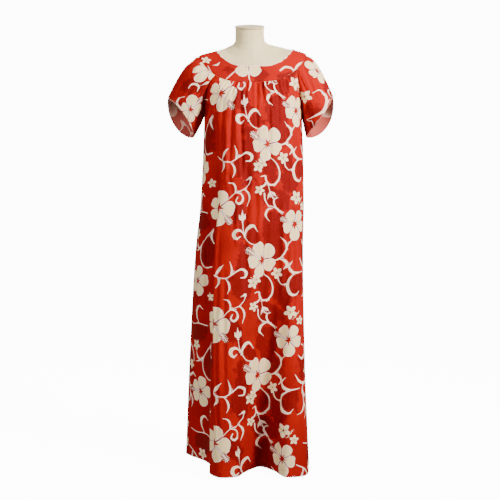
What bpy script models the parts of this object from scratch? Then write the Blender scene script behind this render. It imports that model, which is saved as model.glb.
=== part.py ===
"""A long gathered dress with petal sleeves, worn on a limbless dress form and its stand.

Metres, +Z up. The front faces -Y, so the wearer's left is +X. The origin is on
the floor, at the middle of the stand's foot.
"""

import math
from collections import namedtuple

import bpy
import numpy as np

# Cloth and clearances
CLOTH = 0.0012
SEAM_GAP = 0.0010
YOKE_SEAM_GAP = 0.0013
ARMHOLE_GAP = 0.0017
SLEEVE_SEAM_GAP = 0.0016
SHOULDER_SEAM_GAP = 0.0017
SEAT_GAP = 0.0003

# The dress as worn: rings round the body. A station is the distance down the
# cloth from the front neckline, depths are measured from the side seams, and the
# tilt is how much a ring rises towards the wearer's left.
Ring = namedtuple(
    "Ring", "name station centre_x half_width front back z_side z_front z_back tilt"
)
DRESS_RINGS = (
    Ring("neckline", 0.000, 0.0165, 0.1335, 0.100, 0.083, 1.446, 1.3705, 1.420, 0.018),
    Ring("yoke seam", 0.060, 0.009, 0.190, 0.122, 0.100, 1.4215, 1.3125, 1.340, 0.012),
    Ring("chest", 0.108, 0.010, 0.182, 0.139, 0.112, 1.325, 1.270, 1.285, 0.006),
    Ring("underarm", 0.165, 0.011, 0.171, 0.147, 0.116, 1.215, 1.215, 1.215, 0.0),
    Ring("bust", 0.280, 0.011, 0.1745, 0.153, 0.121, 1.10, 1.10, 1.10, 0.0),
    Ring("hip", 0.460, 0.008, 0.180, 0.158, 0.132, 0.92, 0.92, 0.92, 0.0),
    Ring("thigh", 0.630, -0.003, 0.188, 0.165, 0.140, 0.75, 0.75, 0.75, 0.0),
    Ring("knee", 0.810, -0.009, 0.195, 0.173, 0.150, 0.57, 0.57, 0.57, 0.0),
    Ring("calf", 1.090, -0.014, 0.205, 0.186, 0.167, 0.29, 0.29, 0.29, 0.0),
    Ring("hem", 1.370, -0.016, 0.215, 0.196, 0.186, 0.010, 0.010, 0.010, 0.0),
)
NECKLINE = DRESS_RINGS[0].station
YOKE_SEAM = DRESS_RINGS[1].station
UNDERARM = DRESS_RINGS[3].station
HEM = DRESS_RINGS[-1].station
SQUARENESS = 2.3
SHOULDER_SPREAD = 3.3

# How far round the armhole the yoke reaches, from the shoulder tip to the underarm
ARMHOLE_ON_YOKE = 0.45

# Folds: each line runs down the cloth. It leaves the body's ring at start_z and
# stands off it in plan, in metres, by the pairs given at three heights.
UPPER_Z = 0.93
MIDDLE_Z = 0.58
FoldLine = namedtuple(
    "FoldLine", "name start_z upper_x upper_y middle_x middle_y hem_x hem_y"
)
FRONT_FOLDS = (
    FoldLine("right side seam", 1.10, 0.000, 0.010, 0.000, 0.042, -0.002, 0.115),
    FoldLine("side fold", 1.12, 0.000, 0.008, 0.004, 0.045, 0.013, 0.128),
    FoldLine("side fold front", 1.15, 0.004, 0.006, 0.014, 0.042, 0.040, 0.117),
    FoldLine("deep valley", 1.19, 0.010, 0.024, 0.018, 0.056, 0.036, 0.100),
    FoldLine("overhanging edge", 1.19, -0.012, -0.002, 0.002, -0.006, 0.004, 0.004),
    FoldLine("right ridge", 1.15, -0.010, -0.006, -0.010, -0.012, -0.013, -0.020),
    FoldLine("right ridge inner", 1.15, -0.006, 0.000, -0.014, -0.006, -0.029, -0.004),
    FoldLine("valley flank right", 1.15, -0.004, 0.008, -0.024, 0.026, -0.055, 0.068),
    FoldLine("centre valley", 1.17, -0.010, 0.014, -0.030, 0.040, -0.067, 0.095),
    FoldLine("valley flank left", 1.15, -0.006, 0.004, -0.028, 0.010, -0.065, 0.020),
    FoldLine("left ridge", 1.17, -0.008, -0.008, -0.024, -0.036, -0.056, -0.096),
    FoldLine("left ridge outer", 1.15, -0.002, -0.010, -0.006, -0.050, -0.013, -0.124),
    FoldLine("left side seam", 1.10, 0.000, -0.004, 0.000, -0.020, 0.002, -0.060),
)
BACK_FOLDS = (
    FRONT_FOLDS[-1],
    FoldLine("left side back", 1.05, 0.001, -0.003, 0.005, -0.014, 0.014, -0.042),
    FoldLine("left back corner", 1.02, 0.002, 0.001, 0.010, -0.003, 0.028, -0.014),
    FoldLine("left back ridge", 1.00, 0.002, 0.003, 0.009, 0.004, 0.023, 0.008),
    FoldLine("left back valley", 0.98, 0.001, -0.002, 0.006, -0.012, 0.018, -0.034),
    FoldLine("middle ridge left", 1.00, 0.002, 0.002, 0.014, 0.000, 0.038, -0.004),
    FoldLine("middle ridge right", 1.00, 0.004, 0.003, 0.022, 0.002, 0.058, -0.002),
    FoldLine("middle valley", 0.98, 0.005, -0.003, 0.032, -0.016, 0.086, -0.042),
    FoldLine("right ridge left", 1.00, 0.007, 0.004, 0.038, 0.006, 0.096, 0.012),
    FoldLine("right ridge right", 1.02, 0.007, 0.005, 0.036, 0.018, 0.089, 0.048),
    FoldLine("right back valley", 1.02, 0.005, 0.004, 0.030, 0.014, 0.076, 0.040),
    FoldLine("right back corner", 1.05, 0.003, 0.012, 0.014, 0.042, 0.035, 0.115),
    FRONT_FOLDS[0],
)
COLUMNS_PER_FOLD = 4
WIDE_COLUMNS = COLUMNS_PER_FOLD * (len(FRONT_FOLDS) - 1)

# Gathers below the yoke seam, four fine columns to each
GATHERS = 24
GATHER_COLUMNS = 4 * GATHERS
GATHER_AT_SEAM = 0.0010
GATHER_DEPTH = 0.0024
GATHER_FULL_AT = 0.014
GATHER_LENGTH = 0.075
GATHER_ROWS = (0.0, 0.012, 0.026, 0.042, 0.060, 0.081)
LOWER_ROWS_Z = (1.17, 1.10, 1.01, 0.92, 0.83, 0.74, 0.64, 0.53, 0.41, 0.28, 0.145)

# Sleeves: a tube of two petals from the armhole to a slanting rim. The rim's
# top and underarm points are given, its half depth front to back, how far its
# front and back reach outwards past the line between those points, and how far the
# sleeve head puffs up. The side is 1 for the wearer's left.
Sleeve = namedtuple(
    "Sleeve", "name side top_x top_z under_x under_z half_depth front_reach back_reach puff"
)
SLEEVES = (
    Sleeve("left", 1, 0.291, 1.285, 0.196, 1.145, 0.080, 0.008, 0.042, 0.015),
    Sleeve("right", -1, 0.289, 1.270, 0.196, 1.144, 0.078, -0.017, 0.031, 0.018),
)

# Armholes: degrees of the ring from the side to the armhole's edge at the yoke
# seam, and how late down the armhole they shrink to nothing
Armhole = namedtuple("Armhole", "at_yoke curve")
ARMHOLES = {1: Armhole(39.0, 2.2), -1: Armhole(51.0, 1.3)}

# The front petal's free edge, in degrees from the sleeve's top, at places down it
PetalEdge = namedtuple("PetalEdge", "top quarter middle rim")
PETAL_EDGES = {1: PetalEdge(2, 12, 19, 32), -1: PetalEdge(2, 24, 8, 4)}
EDGE_PLACES = (0.0, 0.25, 0.55, 1.0)
PUFF_PLACE = 0.30
PETAL_COLUMNS = 14
PETAL_ROWS = 8
PETAL_OVERLAP = (30.0, 26.0)
PETAL_LAYER = CLOTH + 0.0012
PETAL_LAYER_FADE = (6.0, 34.0)
PETAL_CORNER = 0.07
PETAL_CORNER_WIDTH = 10.0
UNDERARM_SEAM_DEGREES = 0.5

# Dress form: the neck's rings, then the torso's below the yoke, in the same
# columns as the dress rings but for the station. Its own squareness applies.
FORM_COLUMNS = 48
NECK_RINGS = (
    Ring("neck top", 0, -0.001, 0.0500, 0.055, 0.055, 1.525, 1.504, 1.546, 0.0),
    Ring("neck middle", 1, -0.001, 0.0500, 0.054, 0.054, 1.495, 1.478, 1.512, 0.0),
    Ring("neck lower", 2, 0.000, 0.0520, 0.055, 0.054, 1.478, 1.455, 1.492, 0.0),
    Ring("neck base", 3, 0.003, 0.0620, 0.062, 0.056, 1.468, 1.432, 1.473, 0.0),
    Ring("collar", 4, 0.0145, 0.1000, 0.080, 0.067, 1.4555, 1.401, 1.451, 0.008),
)
NECK_SQUARENESS = 2.0
YOKE_ROWS = (0.0, 0.015, 0.030, 0.045, 0.060)
FORM_CLEARANCES = (0.0006, 0.0006, 0.0008, 0.0016, 0.0050)
TORSO_RINGS = (
    Ring("shoulder tip", 0, 0.009, 0.180, 0.122, 0.100, 1.390, 1.295, 1.315, 0.008),
    Ring("arm plate", 1, 0.009, 0.166, 0.130, 0.103, 1.320, 1.260, 1.272, 0.004),
    Ring("armpit", 2, 0.008, 0.154, 0.137, 0.103, 1.235, 1.225, 1.225, 0.0),
    Ring("bust", 3, 0.006, 0.148, 0.140, 0.098, 1.180, 1.180, 1.180, 0.0),
    Ring("under bust", 4, 0.005, 0.135, 0.118, 0.090, 1.115, 1.115, 1.115, 0.0),
    Ring("waist", 5, 0.004, 0.118, 0.095, 0.080, 1.030, 1.030, 1.030, 0.0),
    Ring("high hip", 6, 0.003, 0.140, 0.102, 0.095, 0.940, 0.940, 0.940, 0.0),
    Ring("hip", 7, 0.001, 0.158, 0.103, 0.106, 0.850, 0.850, 0.850, 0.0),
    Ring("thigh", 8, 0.000, 0.150, 0.098, 0.098, 0.770, 0.770, 0.770, 0.0),
)
CAP_THICKNESS = 0.006
CAP_OVERHANG = 0.002

# Stand
POLE_RADIUS = 0.016
FLANGE_RADIUS = 0.045
FLANGE_THICKNESS = 0.006
FOOT_THICKNESS = 0.006
FOOT_LENGTH = 0.300
FOOT_WIDTH = 0.026
FOOT_ANGLE = 35.0
HUB_RADIUS = 0.030
HUB_HEIGHT = 0.035
TURNED_STEPS = 32

COLOURS = {
    "printed_cotton": ((0.66, 0.035, 0.012, 1.0), 0.80, 0.0),
    "form_linen": ((0.66, 0.60, 0.46, 1.0), 0.85, 0.0),
    "cap_linen": ((0.55, 0.49, 0.37, 1.0), 0.80, 0.0),
    "stand_metal": ((0.09, 0.09, 0.10, 1.0), 0.45, 0.9),
}


def smooth(xs, ys, x):
    """A curve through the points (xs, ys) that never overshoots them, read at x."""
    xs, ys = np.asarray(xs, float), np.asarray(ys, float)
    x = np.clip(np.asarray(x, float), xs[0], xs[-1])
    step = np.diff(xs)
    slope = np.diff(ys) / step
    inner = np.zeros(len(xs) - 2)
    same = slope[:-1] * slope[1:] > 0
    inner[same] = 2 * slope[:-1][same] * slope[1:][same] / (slope[:-1] + slope[1:])[same]
    tangent = np.concatenate(([slope[0]], inner, [slope[-1]]))
    k = np.clip(np.searchsorted(xs, x, side="right") - 1, 0, len(step) - 1)
    t = (x - xs[k]) / step[k]
    return (
        ys[k] * (1 + 2 * t) * (1 - t) ** 2
        + tangent[k] * step[k] * t * (1 - t) ** 2
        + ys[k + 1] * t**2 * (3 - 2 * t)
        + tangent[k + 1] * step[k] * t**2 * (t - 1)
    )


def signed_power(value, power):
    return np.sign(value) * np.abs(value) ** power


def ring_points(ring, angle, squareness=SQUARENESS, spread=SHOULDER_SPREAD):
    """Points of a ring at angles in degrees: 0 is the wearer's left, -90 the front.
    With no spread the ring is flat, and otherwise it saddles over the shoulders."""
    turn = np.radians(np.asarray(angle, float))
    across = signed_power(np.cos(turn), 2 / squareness)
    along = signed_power(np.sin(turn), 2 / squareness)
    ahead = along < 0
    x = ring.centre_x + ring.half_width * across
    y = np.where(ahead, ring.front, ring.back) * along
    drop = 1 - np.abs(across) ** spread if spread else np.abs(along)
    z_end = np.where(ahead, ring.z_front, ring.z_back)
    z = ring.z_side + (z_end - ring.z_side) * drop + ring.tilt * (x - ring.centre_x)
    return np.stack(np.broadcast_arrays(x, y, z), axis=-1)


def dress_ring(station):
    """The dress's ring at any distance down the cloth."""
    stations = [ring.station for ring in DRESS_RINGS]
    columns = zip(*[ring[2:] for ring in DRESS_RINGS])
    return Ring("", station, *[smooth(stations, column, station) for column in columns])


def dress_surface(angle, station):
    return ring_points(dress_ring(station), angle)


def dress_normal(angle, station):
    """The way out of the cloth, from small steps along and down it."""
    step_angle, step_down = 0.5, 0.001
    low = max(NECKLINE, station - step_down)
    before = dress_surface(angle - step_angle, station)
    across = dress_surface(angle + step_angle, station) - before
    down = dress_surface(angle, station + step_down) - dress_surface(angle, low)
    normal = np.cross(down, across)
    return normal / np.linalg.norm(normal, axis=-1, keepdims=True)


def station_at(z):
    """The station of a level ring, below the underarm."""
    return HEM + DRESS_RINGS[-1].z_side - z


def armhole_angle(side, station):
    """Degrees from the side to the armhole's edge, at a station down the armhole."""
    down = min(1, max(0, (station - YOKE_SEAM) / (UNDERARM - YOKE_SEAM)))
    return ARMHOLES[side].at_yoke * (1 - down ** ARMHOLES[side].curve)


def armhole_point(side, turn):
    """A point of the armhole: turn 0 is the shoulder tip, 1 the underarm by the
    front, and -1 the underarm by the back."""
    share = abs(turn)
    if share <= ARMHOLE_ON_YOKE:
        angle = ARMHOLES[side].at_yoke * share / ARMHOLE_ON_YOKE
        station = YOKE_SEAM
    else:
        down = (share - ARMHOLE_ON_YOKE) / (1 - ARMHOLE_ON_YOKE)
        station = YOKE_SEAM + (UNDERARM - YOKE_SEAM) * down
        angle = armhole_angle(side, station)
    angle = -math.copysign(angle, turn)
    return dress_surface(angle if side > 0 else 180 - angle, station)


def fold_offset(line, z):
    """How far a fold line stands off the body's ring in plan, at height z."""
    heights = (DRESS_RINGS[-1].z_side, MIDDLE_Z, UPPER_Z, line.start_z, line.start_z + 1)
    x = smooth(heights, (line.hem_x, line.middle_x, line.upper_x, 0, 0), z)
    y = smooth(heights, (line.hem_y, line.middle_y, line.upper_y, 0, 0), z)
    return np.array([x, y, 0.0])


def curve_through(points, per_span):
    """A closed smooth curve through points, with per_span steps to each span."""
    before, after = np.roll(points, 1, axis=0), np.roll(points, -1, axis=0)
    beyond = np.roll(points, -2, axis=0)

    def knot(start, end):
        return np.sqrt(np.linalg.norm(end - start, axis=1))[:, None]

    t1 = knot(before, points)
    t2 = t1 + knot(points, after)
    t3 = t2 + knot(after, beyond)
    found = []
    for step in range(per_span):
        t = t1 + (t2 - t1) * step / per_span
        a1 = (before * (t1 - t) + points * t) / t1
        a2 = (points * (t2 - t) + after * (t - t1)) / (t2 - t1)
        a3 = (after * (t3 - t) + beyond * (t - t2)) / (t3 - t2)
        b1 = (a1 * (t2 - t) + a2 * t) / t2
        b2 = (a2 * (t3 - t) + a3 * (t - t1)) / (t3 - t1)
        found.append((b1 * (t2 - t) + b2 * (t - t1)) / (t2 - t1))
    return np.stack(found, axis=1).reshape(-1, 3)


def skirt_section(z, per_span=COLUMNS_PER_FOLD):
    """The whole dress's section at height z: front points, then back points."""
    lines = FRONT_FOLDS[:-1] + BACK_FOLDS[:-1]
    angles = np.linspace(-180, 180, len(lines), endpoint=False)
    station = station_at(z)
    points = np.array(
        [
            dress_surface(angle, station) + fold_offset(line, z)
            for line, angle in zip(lines, angles)
        ]
    )
    curve = curve_through(points, per_span)
    half = per_span * (len(FRONT_FOLDS) - 1)
    return curve[: half + 1], np.concatenate((curve[half:], curve[:1]))


def gather_wave(columns, below_seam):
    """How far the gathers push the cloth out, along a row of fine columns."""
    share = np.linspace(0, 1, columns + 1)
    wave = np.sin(2 * np.pi * GATHERS * share)
    number = GATHERS * share
    depth = 1 + 0.25 * np.sin(1.9 * number) + 0.15 * np.sin(3.1 * number + 1)
    length = GATHER_LENGTH * (1 + 0.30 * np.sin(1.3 * number + 2))
    rise = min(1.0, below_seam / GATHER_FULL_AT)
    size = GATHER_AT_SEAM + (GATHER_DEPTH - GATHER_AT_SEAM) * rise
    fade = np.exp(-((below_seam / length) ** 2))
    ends = np.minimum(1, 12 * np.minimum(share, 1 - share))
    return wave * depth * size * fade * ends


def panel_row(front, station, columns, below_seam):
    """One row of a gathered panel, between its armholes or side seams."""
    gap = math.degrees(ARMHOLE_GAP / DRESS_RINGS[3].half_width)
    left = armhole_angle(1, station) + gap
    right = armhole_angle(-1, station) + gap
    ends = (right - 180, -90, -left) if front else (left, 90, 180 - right)
    angle = np.interp(np.linspace(0, 2, columns + 1), (0, 1, 2), ends)
    points = dress_surface(angle, station)
    out = points - np.array([dress_ring(station).centre_x, 0, 0]) * [1, 0, 0]
    out[:, 2] = 0
    out /= np.linalg.norm(out, axis=1, keepdims=True)
    return points + out * gather_wave(columns, below_seam)[:, None]


def trim_ends(points, gap=SEAM_GAP / 2):
    """Moves a row's two ends inwards along the row, to leave room at the seams."""
    points = points.copy()
    for end, inner in ((0, 1), (-1, -2)):
        way = points[inner] - points[end]
        points[end] += way / np.linalg.norm(way) * gap
    return points


def panel_rows(front):
    """All rows of the front or back panel, from the yoke seam to the hem."""
    rows = []
    for below in GATHER_ROWS:
        station = YOKE_SEAM + YOKE_SEAM_GAP + below
        rows.append(panel_row(front, station, GATHER_COLUMNS, below))
    rows.append(panel_row(front, UNDERARM, WIDE_COLUMNS, 1.0))
    for z in LOWER_ROWS_Z + (DRESS_RINGS[-1].z_side,):
        section = skirt_section(z)[0 if front else 1]
        rows.append(trim_ends(section))
    return rows


def strip_faces(upper, lower):
    """Faces between two rows of point numbers, where the lower row has as many
    points or half as many spans."""
    if len(upper) == len(lower):
        return [
            (upper[i], lower[i], lower[i + 1], upper[i + 1])
            for i in range(len(upper) - 1)
        ]
    faces = []
    for i in range(len(lower) - 1):
        left, middle, right = upper[2 * i : 2 * i + 3]
        faces += [
            (left, lower[i], middle),
            (middle, lower[i], lower[i + 1]),
            (middle, lower[i + 1], right),
        ]
    return faces


def mesh_from_rows(name, rows, closed=False):
    """A mesh lofted through rows of points. A closed one wraps and is capped."""
    starts = np.cumsum([0] + [len(row) for row in rows])
    numbers = [list(range(starts[k], starts[k + 1])) for k in range(len(rows))]
    if closed:
        numbers = [row + row[:1] for row in numbers]
    faces = []
    for upper, lower in zip(numbers[:-1], numbers[1:]):
        faces += strip_faces(upper, lower)
    if closed:
        faces.append(tuple(numbers[0][:-1]))
        faces.append(tuple(reversed(numbers[-1][:-1])))
    mesh = bpy.data.meshes.new(name)
    mesh.from_pydata(np.concatenate(rows).tolist(), [], faces)
    mesh.validate()
    mesh.shade_smooth()
    return mesh


def material(name):
    found = bpy.data.materials.get(name)
    if found:
        return found
    colour, roughness, metallic = COLOURS[name]
    made = bpy.data.materials.new(name)
    made.use_nodes = True
    shader = made.node_tree.nodes["Principled BSDF"]
    shader.inputs["Base Color"].default_value = colour
    shader.inputs["Roughness"].default_value = roughness
    shader.inputs["Metallic"].default_value = metallic
    return made


def add_object(name, mesh, material_name, collection):
    obj = bpy.data.objects.new(name, mesh)
    obj.data.materials.append(material(material_name))
    collection.objects.link(obj)
    return obj


def add_cloth(name, rows, collection):
    """A cloth wall: its rows are its outer face, and it is thick inwards."""
    obj = add_object(name, mesh_from_rows(name, rows), "printed_cotton", collection)
    wall = obj.modifiers.new("cloth", "SOLIDIFY")
    wall.thickness = CLOTH
    wall.offset = -1
    return obj


def add_yoke(name, front, collection):
    """The yoke's front or back half, from the neckline to the panel's seam."""
    gap = math.degrees(SEAM_GAP / DRESS_RINGS[1].half_width)
    first = -180 if front else 0
    spans = FORM_COLUMNS // 2
    angle = np.linspace(first, first + 180, spans + 1)
    angle[0] += gap
    angle[-1] -= gap
    rows = [dress_surface(angle, station) for station in YOKE_ROWS]
    return add_cloth(name, rows, collection)


def sleeve_rim(sleeve, angle):
    """A point of the sleeve's rim: angle 0 is its top, 90 its front, 180 below."""
    top = np.array([sleeve.side * sleeve.top_x, 0, sleeve.top_z])
    under = np.array([sleeve.side * sleeve.under_x, 0, sleeve.under_z])
    centre, half = (top + under) / 2, (top - under) / 2
    outward = np.array([-half[2], 0, half[0]]) * -sleeve.side
    outward /= np.linalg.norm(outward)
    turn = math.radians(angle)
    reach = sleeve.front_reach if angle > 0 else sleeve.back_reach
    ahead = np.array([0, -sleeve.half_depth * math.sin(turn), 0])
    return centre + half * math.cos(turn) + ahead + outward * reach * abs(math.sin(turn)) ** 1.5


def sleeve_surface(sleeve, angle, down):
    """A point of the sleeve, down from the armhole (0) to the rim (1)."""
    start = armhole_point(sleeve.side, angle / 180)
    rim = sleeve_rim(sleeve, angle)
    at_shoulder = (1 + math.cos(math.radians(angle))) / 2
    gap = SLEEVE_SEAM_GAP + (SHOULDER_SEAM_GAP - SLEEVE_SEAM_GAP) * at_shoulder**2
    start = start + gap * (rim - start) / np.linalg.norm(rim - start)
    armhole_ends = armhole_point(sleeve.side, 0) + armhole_point(sleeve.side, 1)
    rim_ends = sleeve_rim(sleeve, 0) + sleeve_rim(sleeve, 180)
    out = (start + rim) - (armhole_ends + rim_ends) / 2
    out /= np.linalg.norm(out)
    puff = sleeve.puff * (0.2 + 0.8 * at_shoulder)
    middle = start + (rim - start) * PUFF_PLACE + 2 * puff * out
    return (1 - down) ** 2 * start + 2 * down * (1 - down) * middle + down**2 * rim


def sleeve_point(sleeve, angle, down, layer):
    """A point of the sleeve, lifted off it by the thickness of a layer."""
    point = sleeve_surface(sleeve, angle, down)
    if layer == 0:
        return point
    round_it = sleeve_surface(sleeve, angle + 1, down) - point
    down_it = sleeve_surface(sleeve, angle, down + 0.01) - point
    out = np.cross(round_it, down_it) * sleeve.side
    return point + out / np.linalg.norm(out) * layer


def petal_edges(sleeve, down):
    """The angles of the front and back petals' free edges, down the sleeve."""
    front = float(smooth(EDGE_PLACES, PETAL_EDGES[sleeve.side], down))
    return front, front + PETAL_OVERLAP[0] + (PETAL_OVERLAP[1] - PETAL_OVERLAP[0]) * down


def petal_rows(sleeve, front):
    """Rows of one petal, from its free edge round to the underarm seam."""
    rows = []
    for down in np.linspace(0, 1, PETAL_ROWS + 1):
        front_edge, back_edge = petal_edges(sleeve, down)
        edge = front_edge if front else back_edge
        seam = 180 - UNDERARM_SEAM_DEGREES if front else -180 + UNDERARM_SEAM_DEGREES
        row = []
        for share in np.linspace(0, 1, PETAL_COLUMNS + 1) ** 1.2:
            angle = edge + (seam - edge) * share
            past = (angle - back_edge - PETAL_LAYER_FADE[0]) / (
                PETAL_LAYER_FADE[1] - PETAL_LAYER_FADE[0]
            )
            layer = PETAL_LAYER * (1 - min(1, max(0, past))) if front else 0
            corner = PETAL_CORNER * math.exp(-abs(angle - edge) / PETAL_CORNER_WIDTH)
            row.append(sleeve_point(sleeve, angle, down * (1 - corner), layer))
        rows.append(np.array(row))
    # A row runs to the right as seen from outside the sleeve.
    if (sleeve.side > 0) == front:
        rows = [row[::-1] for row in rows]
    return rows


def add_form(collection):
    """The dress form's torso, lofted from its neck to below its hips."""
    angle = np.arange(FORM_COLUMNS) * 360 / FORM_COLUMNS
    rows = [ring_points(ring, angle, NECK_SQUARENESS, None) for ring in NECK_RINGS]
    for station, clearance in zip(YOKE_ROWS, FORM_CLEARANCES):
        inwards = (CLOTH + clearance) * -dress_normal(angle, station)
        rows.append(dress_surface(angle, station) + inwards)
    rows += [ring_points(ring, angle) for ring in TORSO_RINGS]
    return add_object(
        "form_torso",
        mesh_from_rows("form_torso", rows, closed=True),
        "form_linen",
        collection,
    )


def add_neck_cap(collection):
    """The oval plate on the neck, slanting down to the front as the neck does."""
    top = NECK_RINGS[0]
    slope = math.atan2(top.z_back - top.z_front, top.front + top.back)
    bpy.ops.mesh.primitive_cylinder_add(
        vertices=FORM_COLUMNS, radius=1, depth=CAP_THICKNESS
    )
    cap = bpy.context.object
    cap.name = "form_neck_cap"
    cap.scale = (
        top.half_width + CAP_OVERHANG,
        top.front / math.cos(slope) + CAP_OVERHANG,
        1,
    )
    bpy.ops.object.transform_apply(location=False, rotation=False, scale=True)
    cap.rotation_euler = (slope, 0, 0)
    lift = CAP_THICKNESS / 2 + SEAT_GAP
    cap.location = (
        top.centre_x,
        -lift * math.sin(slope),
        top.z_side + lift * math.cos(slope),
    )
    edge = cap.modifiers.new("edge", "BEVEL")
    edge.width = 0.0015
    edge.segments = 2
    edge.limit_method = "ANGLE"
    cap.data.materials.append(material("cap_linen"))
    move_to(cap, collection)
    return cap


def move_to(obj, collection):
    for old in list(obj.users_collection):
        old.objects.unlink(obj)
    collection.objects.link(obj)


def add_pole(collection):
    """A turned pole with the flange that carries the torso."""
    top = TORSO_RINGS[-1].z_side - SEAT_GAP
    bottom = HUB_HEIGHT + SEAT_GAP
    profile = (
        (0, top),
        (FLANGE_RADIUS, top),
        (FLANGE_RADIUS, top - FLANGE_THICKNESS),
        (POLE_RADIUS, top - FLANGE_THICKNESS),
        (POLE_RADIUS, bottom),
        (0, bottom),
    )
    mesh = bpy.data.meshes.new("stand_pole")
    mesh.from_pydata(
        [(x, 0, z) for x, z in profile],
        [(k, k + 1) for k in range(len(profile) - 1)],
        [],
    )
    pole = add_object("stand_pole", mesh, "stand_metal", collection)
    turn = pole.modifiers.new("turn", "SCREW")
    turn.steps = TURNED_STEPS
    turn.render_steps = TURNED_STEPS
    turn.use_merge_vertices = True
    turn.merge_threshold = 0.0001
    return pole


def add_bar(name, angle):
    """One bar of the foot, lying on the floor."""
    bpy.ops.mesh.primitive_cube_add(size=1, location=(0, 0, FOOT_THICKNESS / 2))
    bar = bpy.context.object
    bar.name = name
    bar.scale = (FOOT_LENGTH, FOOT_WIDTH, FOOT_THICKNESS)
    bar.rotation_euler = (0, 0, math.radians(angle))
    bpy.ops.object.transform_apply(location=True, rotation=True, scale=True)
    return bar


def add_base(collection, cutters):
    """The stand's foot: two crossed flat bars and the hub that seats the pole."""
    base = add_bar("stand_base", FOOT_ANGLE)
    other = add_bar("foot_bar", -FOOT_ANGLE)
    bpy.ops.mesh.primitive_cylinder_add(
        vertices=TURNED_STEPS,
        radius=HUB_RADIUS,
        depth=HUB_HEIGHT,
        location=(0, 0, HUB_HEIGHT / 2),
    )
    hub = bpy.context.object
    hub.name = "foot_hub"
    for helper in (other, hub):
        join = base.modifiers.new("join " + helper.name, "BOOLEAN")
        join.operation = "UNION"
        join.object = helper
        helper.hide_render = True
        helper.display_type = "WIRE"
        move_to(helper, cutters)
    base.data.materials.append(material("stand_metal"))
    move_to(base, collection)
    return base


def new_collection(name):
    made = bpy.data.collections.new(name)
    bpy.context.scene.collection.children.link(made)
    return made


def main():
    for obj in list(bpy.data.objects):
        bpy.data.objects.remove(obj)
    dress = new_collection("gathered_dress_on_form")
    cutters = new_collection("cutters")
    add_yoke("yoke_front", True, dress)
    add_yoke("yoke_back", False, dress)
    add_cloth("panel_front", panel_rows(front=True), dress)
    add_cloth("panel_back", panel_rows(front=False), dress)
    for sleeve in SLEEVES:
        for petal, front in (("front", True), ("back", False)):
            name = f"sleeve_{sleeve.name}_{petal}"
            add_cloth(name, petal_rows(sleeve, front), dress)
    add_form(dress)
    add_neck_cap(dress)
    add_pole(dress)
    add_base(dress, cutters)


main()
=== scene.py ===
import math
from collections import namedtuple

import bpy
import numpy as np
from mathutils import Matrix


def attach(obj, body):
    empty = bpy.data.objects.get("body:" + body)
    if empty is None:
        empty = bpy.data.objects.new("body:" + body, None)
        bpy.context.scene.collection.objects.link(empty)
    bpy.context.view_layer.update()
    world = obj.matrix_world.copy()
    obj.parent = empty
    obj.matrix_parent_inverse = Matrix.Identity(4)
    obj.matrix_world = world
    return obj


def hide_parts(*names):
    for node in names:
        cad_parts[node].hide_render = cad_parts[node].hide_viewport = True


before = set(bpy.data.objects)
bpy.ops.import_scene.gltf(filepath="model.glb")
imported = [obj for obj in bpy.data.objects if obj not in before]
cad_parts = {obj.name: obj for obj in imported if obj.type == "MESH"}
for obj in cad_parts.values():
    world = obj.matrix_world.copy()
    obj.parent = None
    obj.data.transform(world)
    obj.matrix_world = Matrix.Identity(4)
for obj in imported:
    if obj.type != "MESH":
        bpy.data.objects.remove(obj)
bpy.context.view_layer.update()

# The looks of a long gathered dress with petal sleeves, on a limbless dress form.
# Metres, +Z up, front towards -Y. The wearer's left is +X, the picture's right.

# Clearances and thickness of the cloth, as in the solids
CLOTH = 0.0012
SEAM_GAP = 0.0010
YOKE_SEAM_GAP = 0.0013
ARMHOLE_GAP = 0.0017
SLEEVE_SEAM_GAP = 0.0016
SHOULDER_SEAM_GAP = 0.0017

# The dress as worn, in rings round the body. A station is the distance down the
# cloth from the front neckline.
Ring = namedtuple(
    "Ring", "name station centre_x half_width front back z_side z_front z_back tilt"
)
DRESS_RINGS = (
    Ring("neckline", 0.000, 0.0165, 0.1335, 0.100, 0.083, 1.446, 1.3705, 1.420, 0.018),
    Ring("yoke seam", 0.060, 0.009, 0.190, 0.122, 0.100, 1.4215, 1.3125, 1.340, 0.012),
    Ring("chest", 0.108, 0.010, 0.182, 0.139, 0.112, 1.325, 1.270, 1.285, 0.006),
    Ring("underarm", 0.165, 0.011, 0.171, 0.147, 0.116, 1.215, 1.215, 1.215, 0.0),
    Ring("bust", 0.280, 0.011, 0.1745, 0.153, 0.121, 1.10, 1.10, 1.10, 0.0),
    Ring("hip", 0.460, 0.008, 0.180, 0.158, 0.132, 0.92, 0.92, 0.92, 0.0),
    Ring("thigh", 0.630, -0.003, 0.188, 0.165, 0.140, 0.75, 0.75, 0.75, 0.0),
    Ring("knee", 0.810, -0.009, 0.195, 0.173, 0.150, 0.57, 0.57, 0.57, 0.0),
    Ring("calf", 1.090, -0.014, 0.205, 0.186, 0.167, 0.29, 0.29, 0.29, 0.0),
    Ring("hem", 1.370, -0.016, 0.215, 0.196, 0.186, 0.010, 0.010, 0.010, 0.0),
)
YOKE_RING = DRESS_RINGS[1]
UNDERARM_RING = DRESS_RINGS[3]
NECKLINE = DRESS_RINGS[0].station
YOKE_SEAM = YOKE_RING.station
UNDERARM = UNDERARM_RING.station
UNDERARM_Z = UNDERARM_RING.z_side
HEM = DRESS_RINGS[-1].station
HEM_Z = DRESS_RINGS[-1].z_side
SQUARENESS = 2.3
SHOULDER_SPREAD = 3.3
ARMHOLE_ON_YOKE = 0.45

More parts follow.
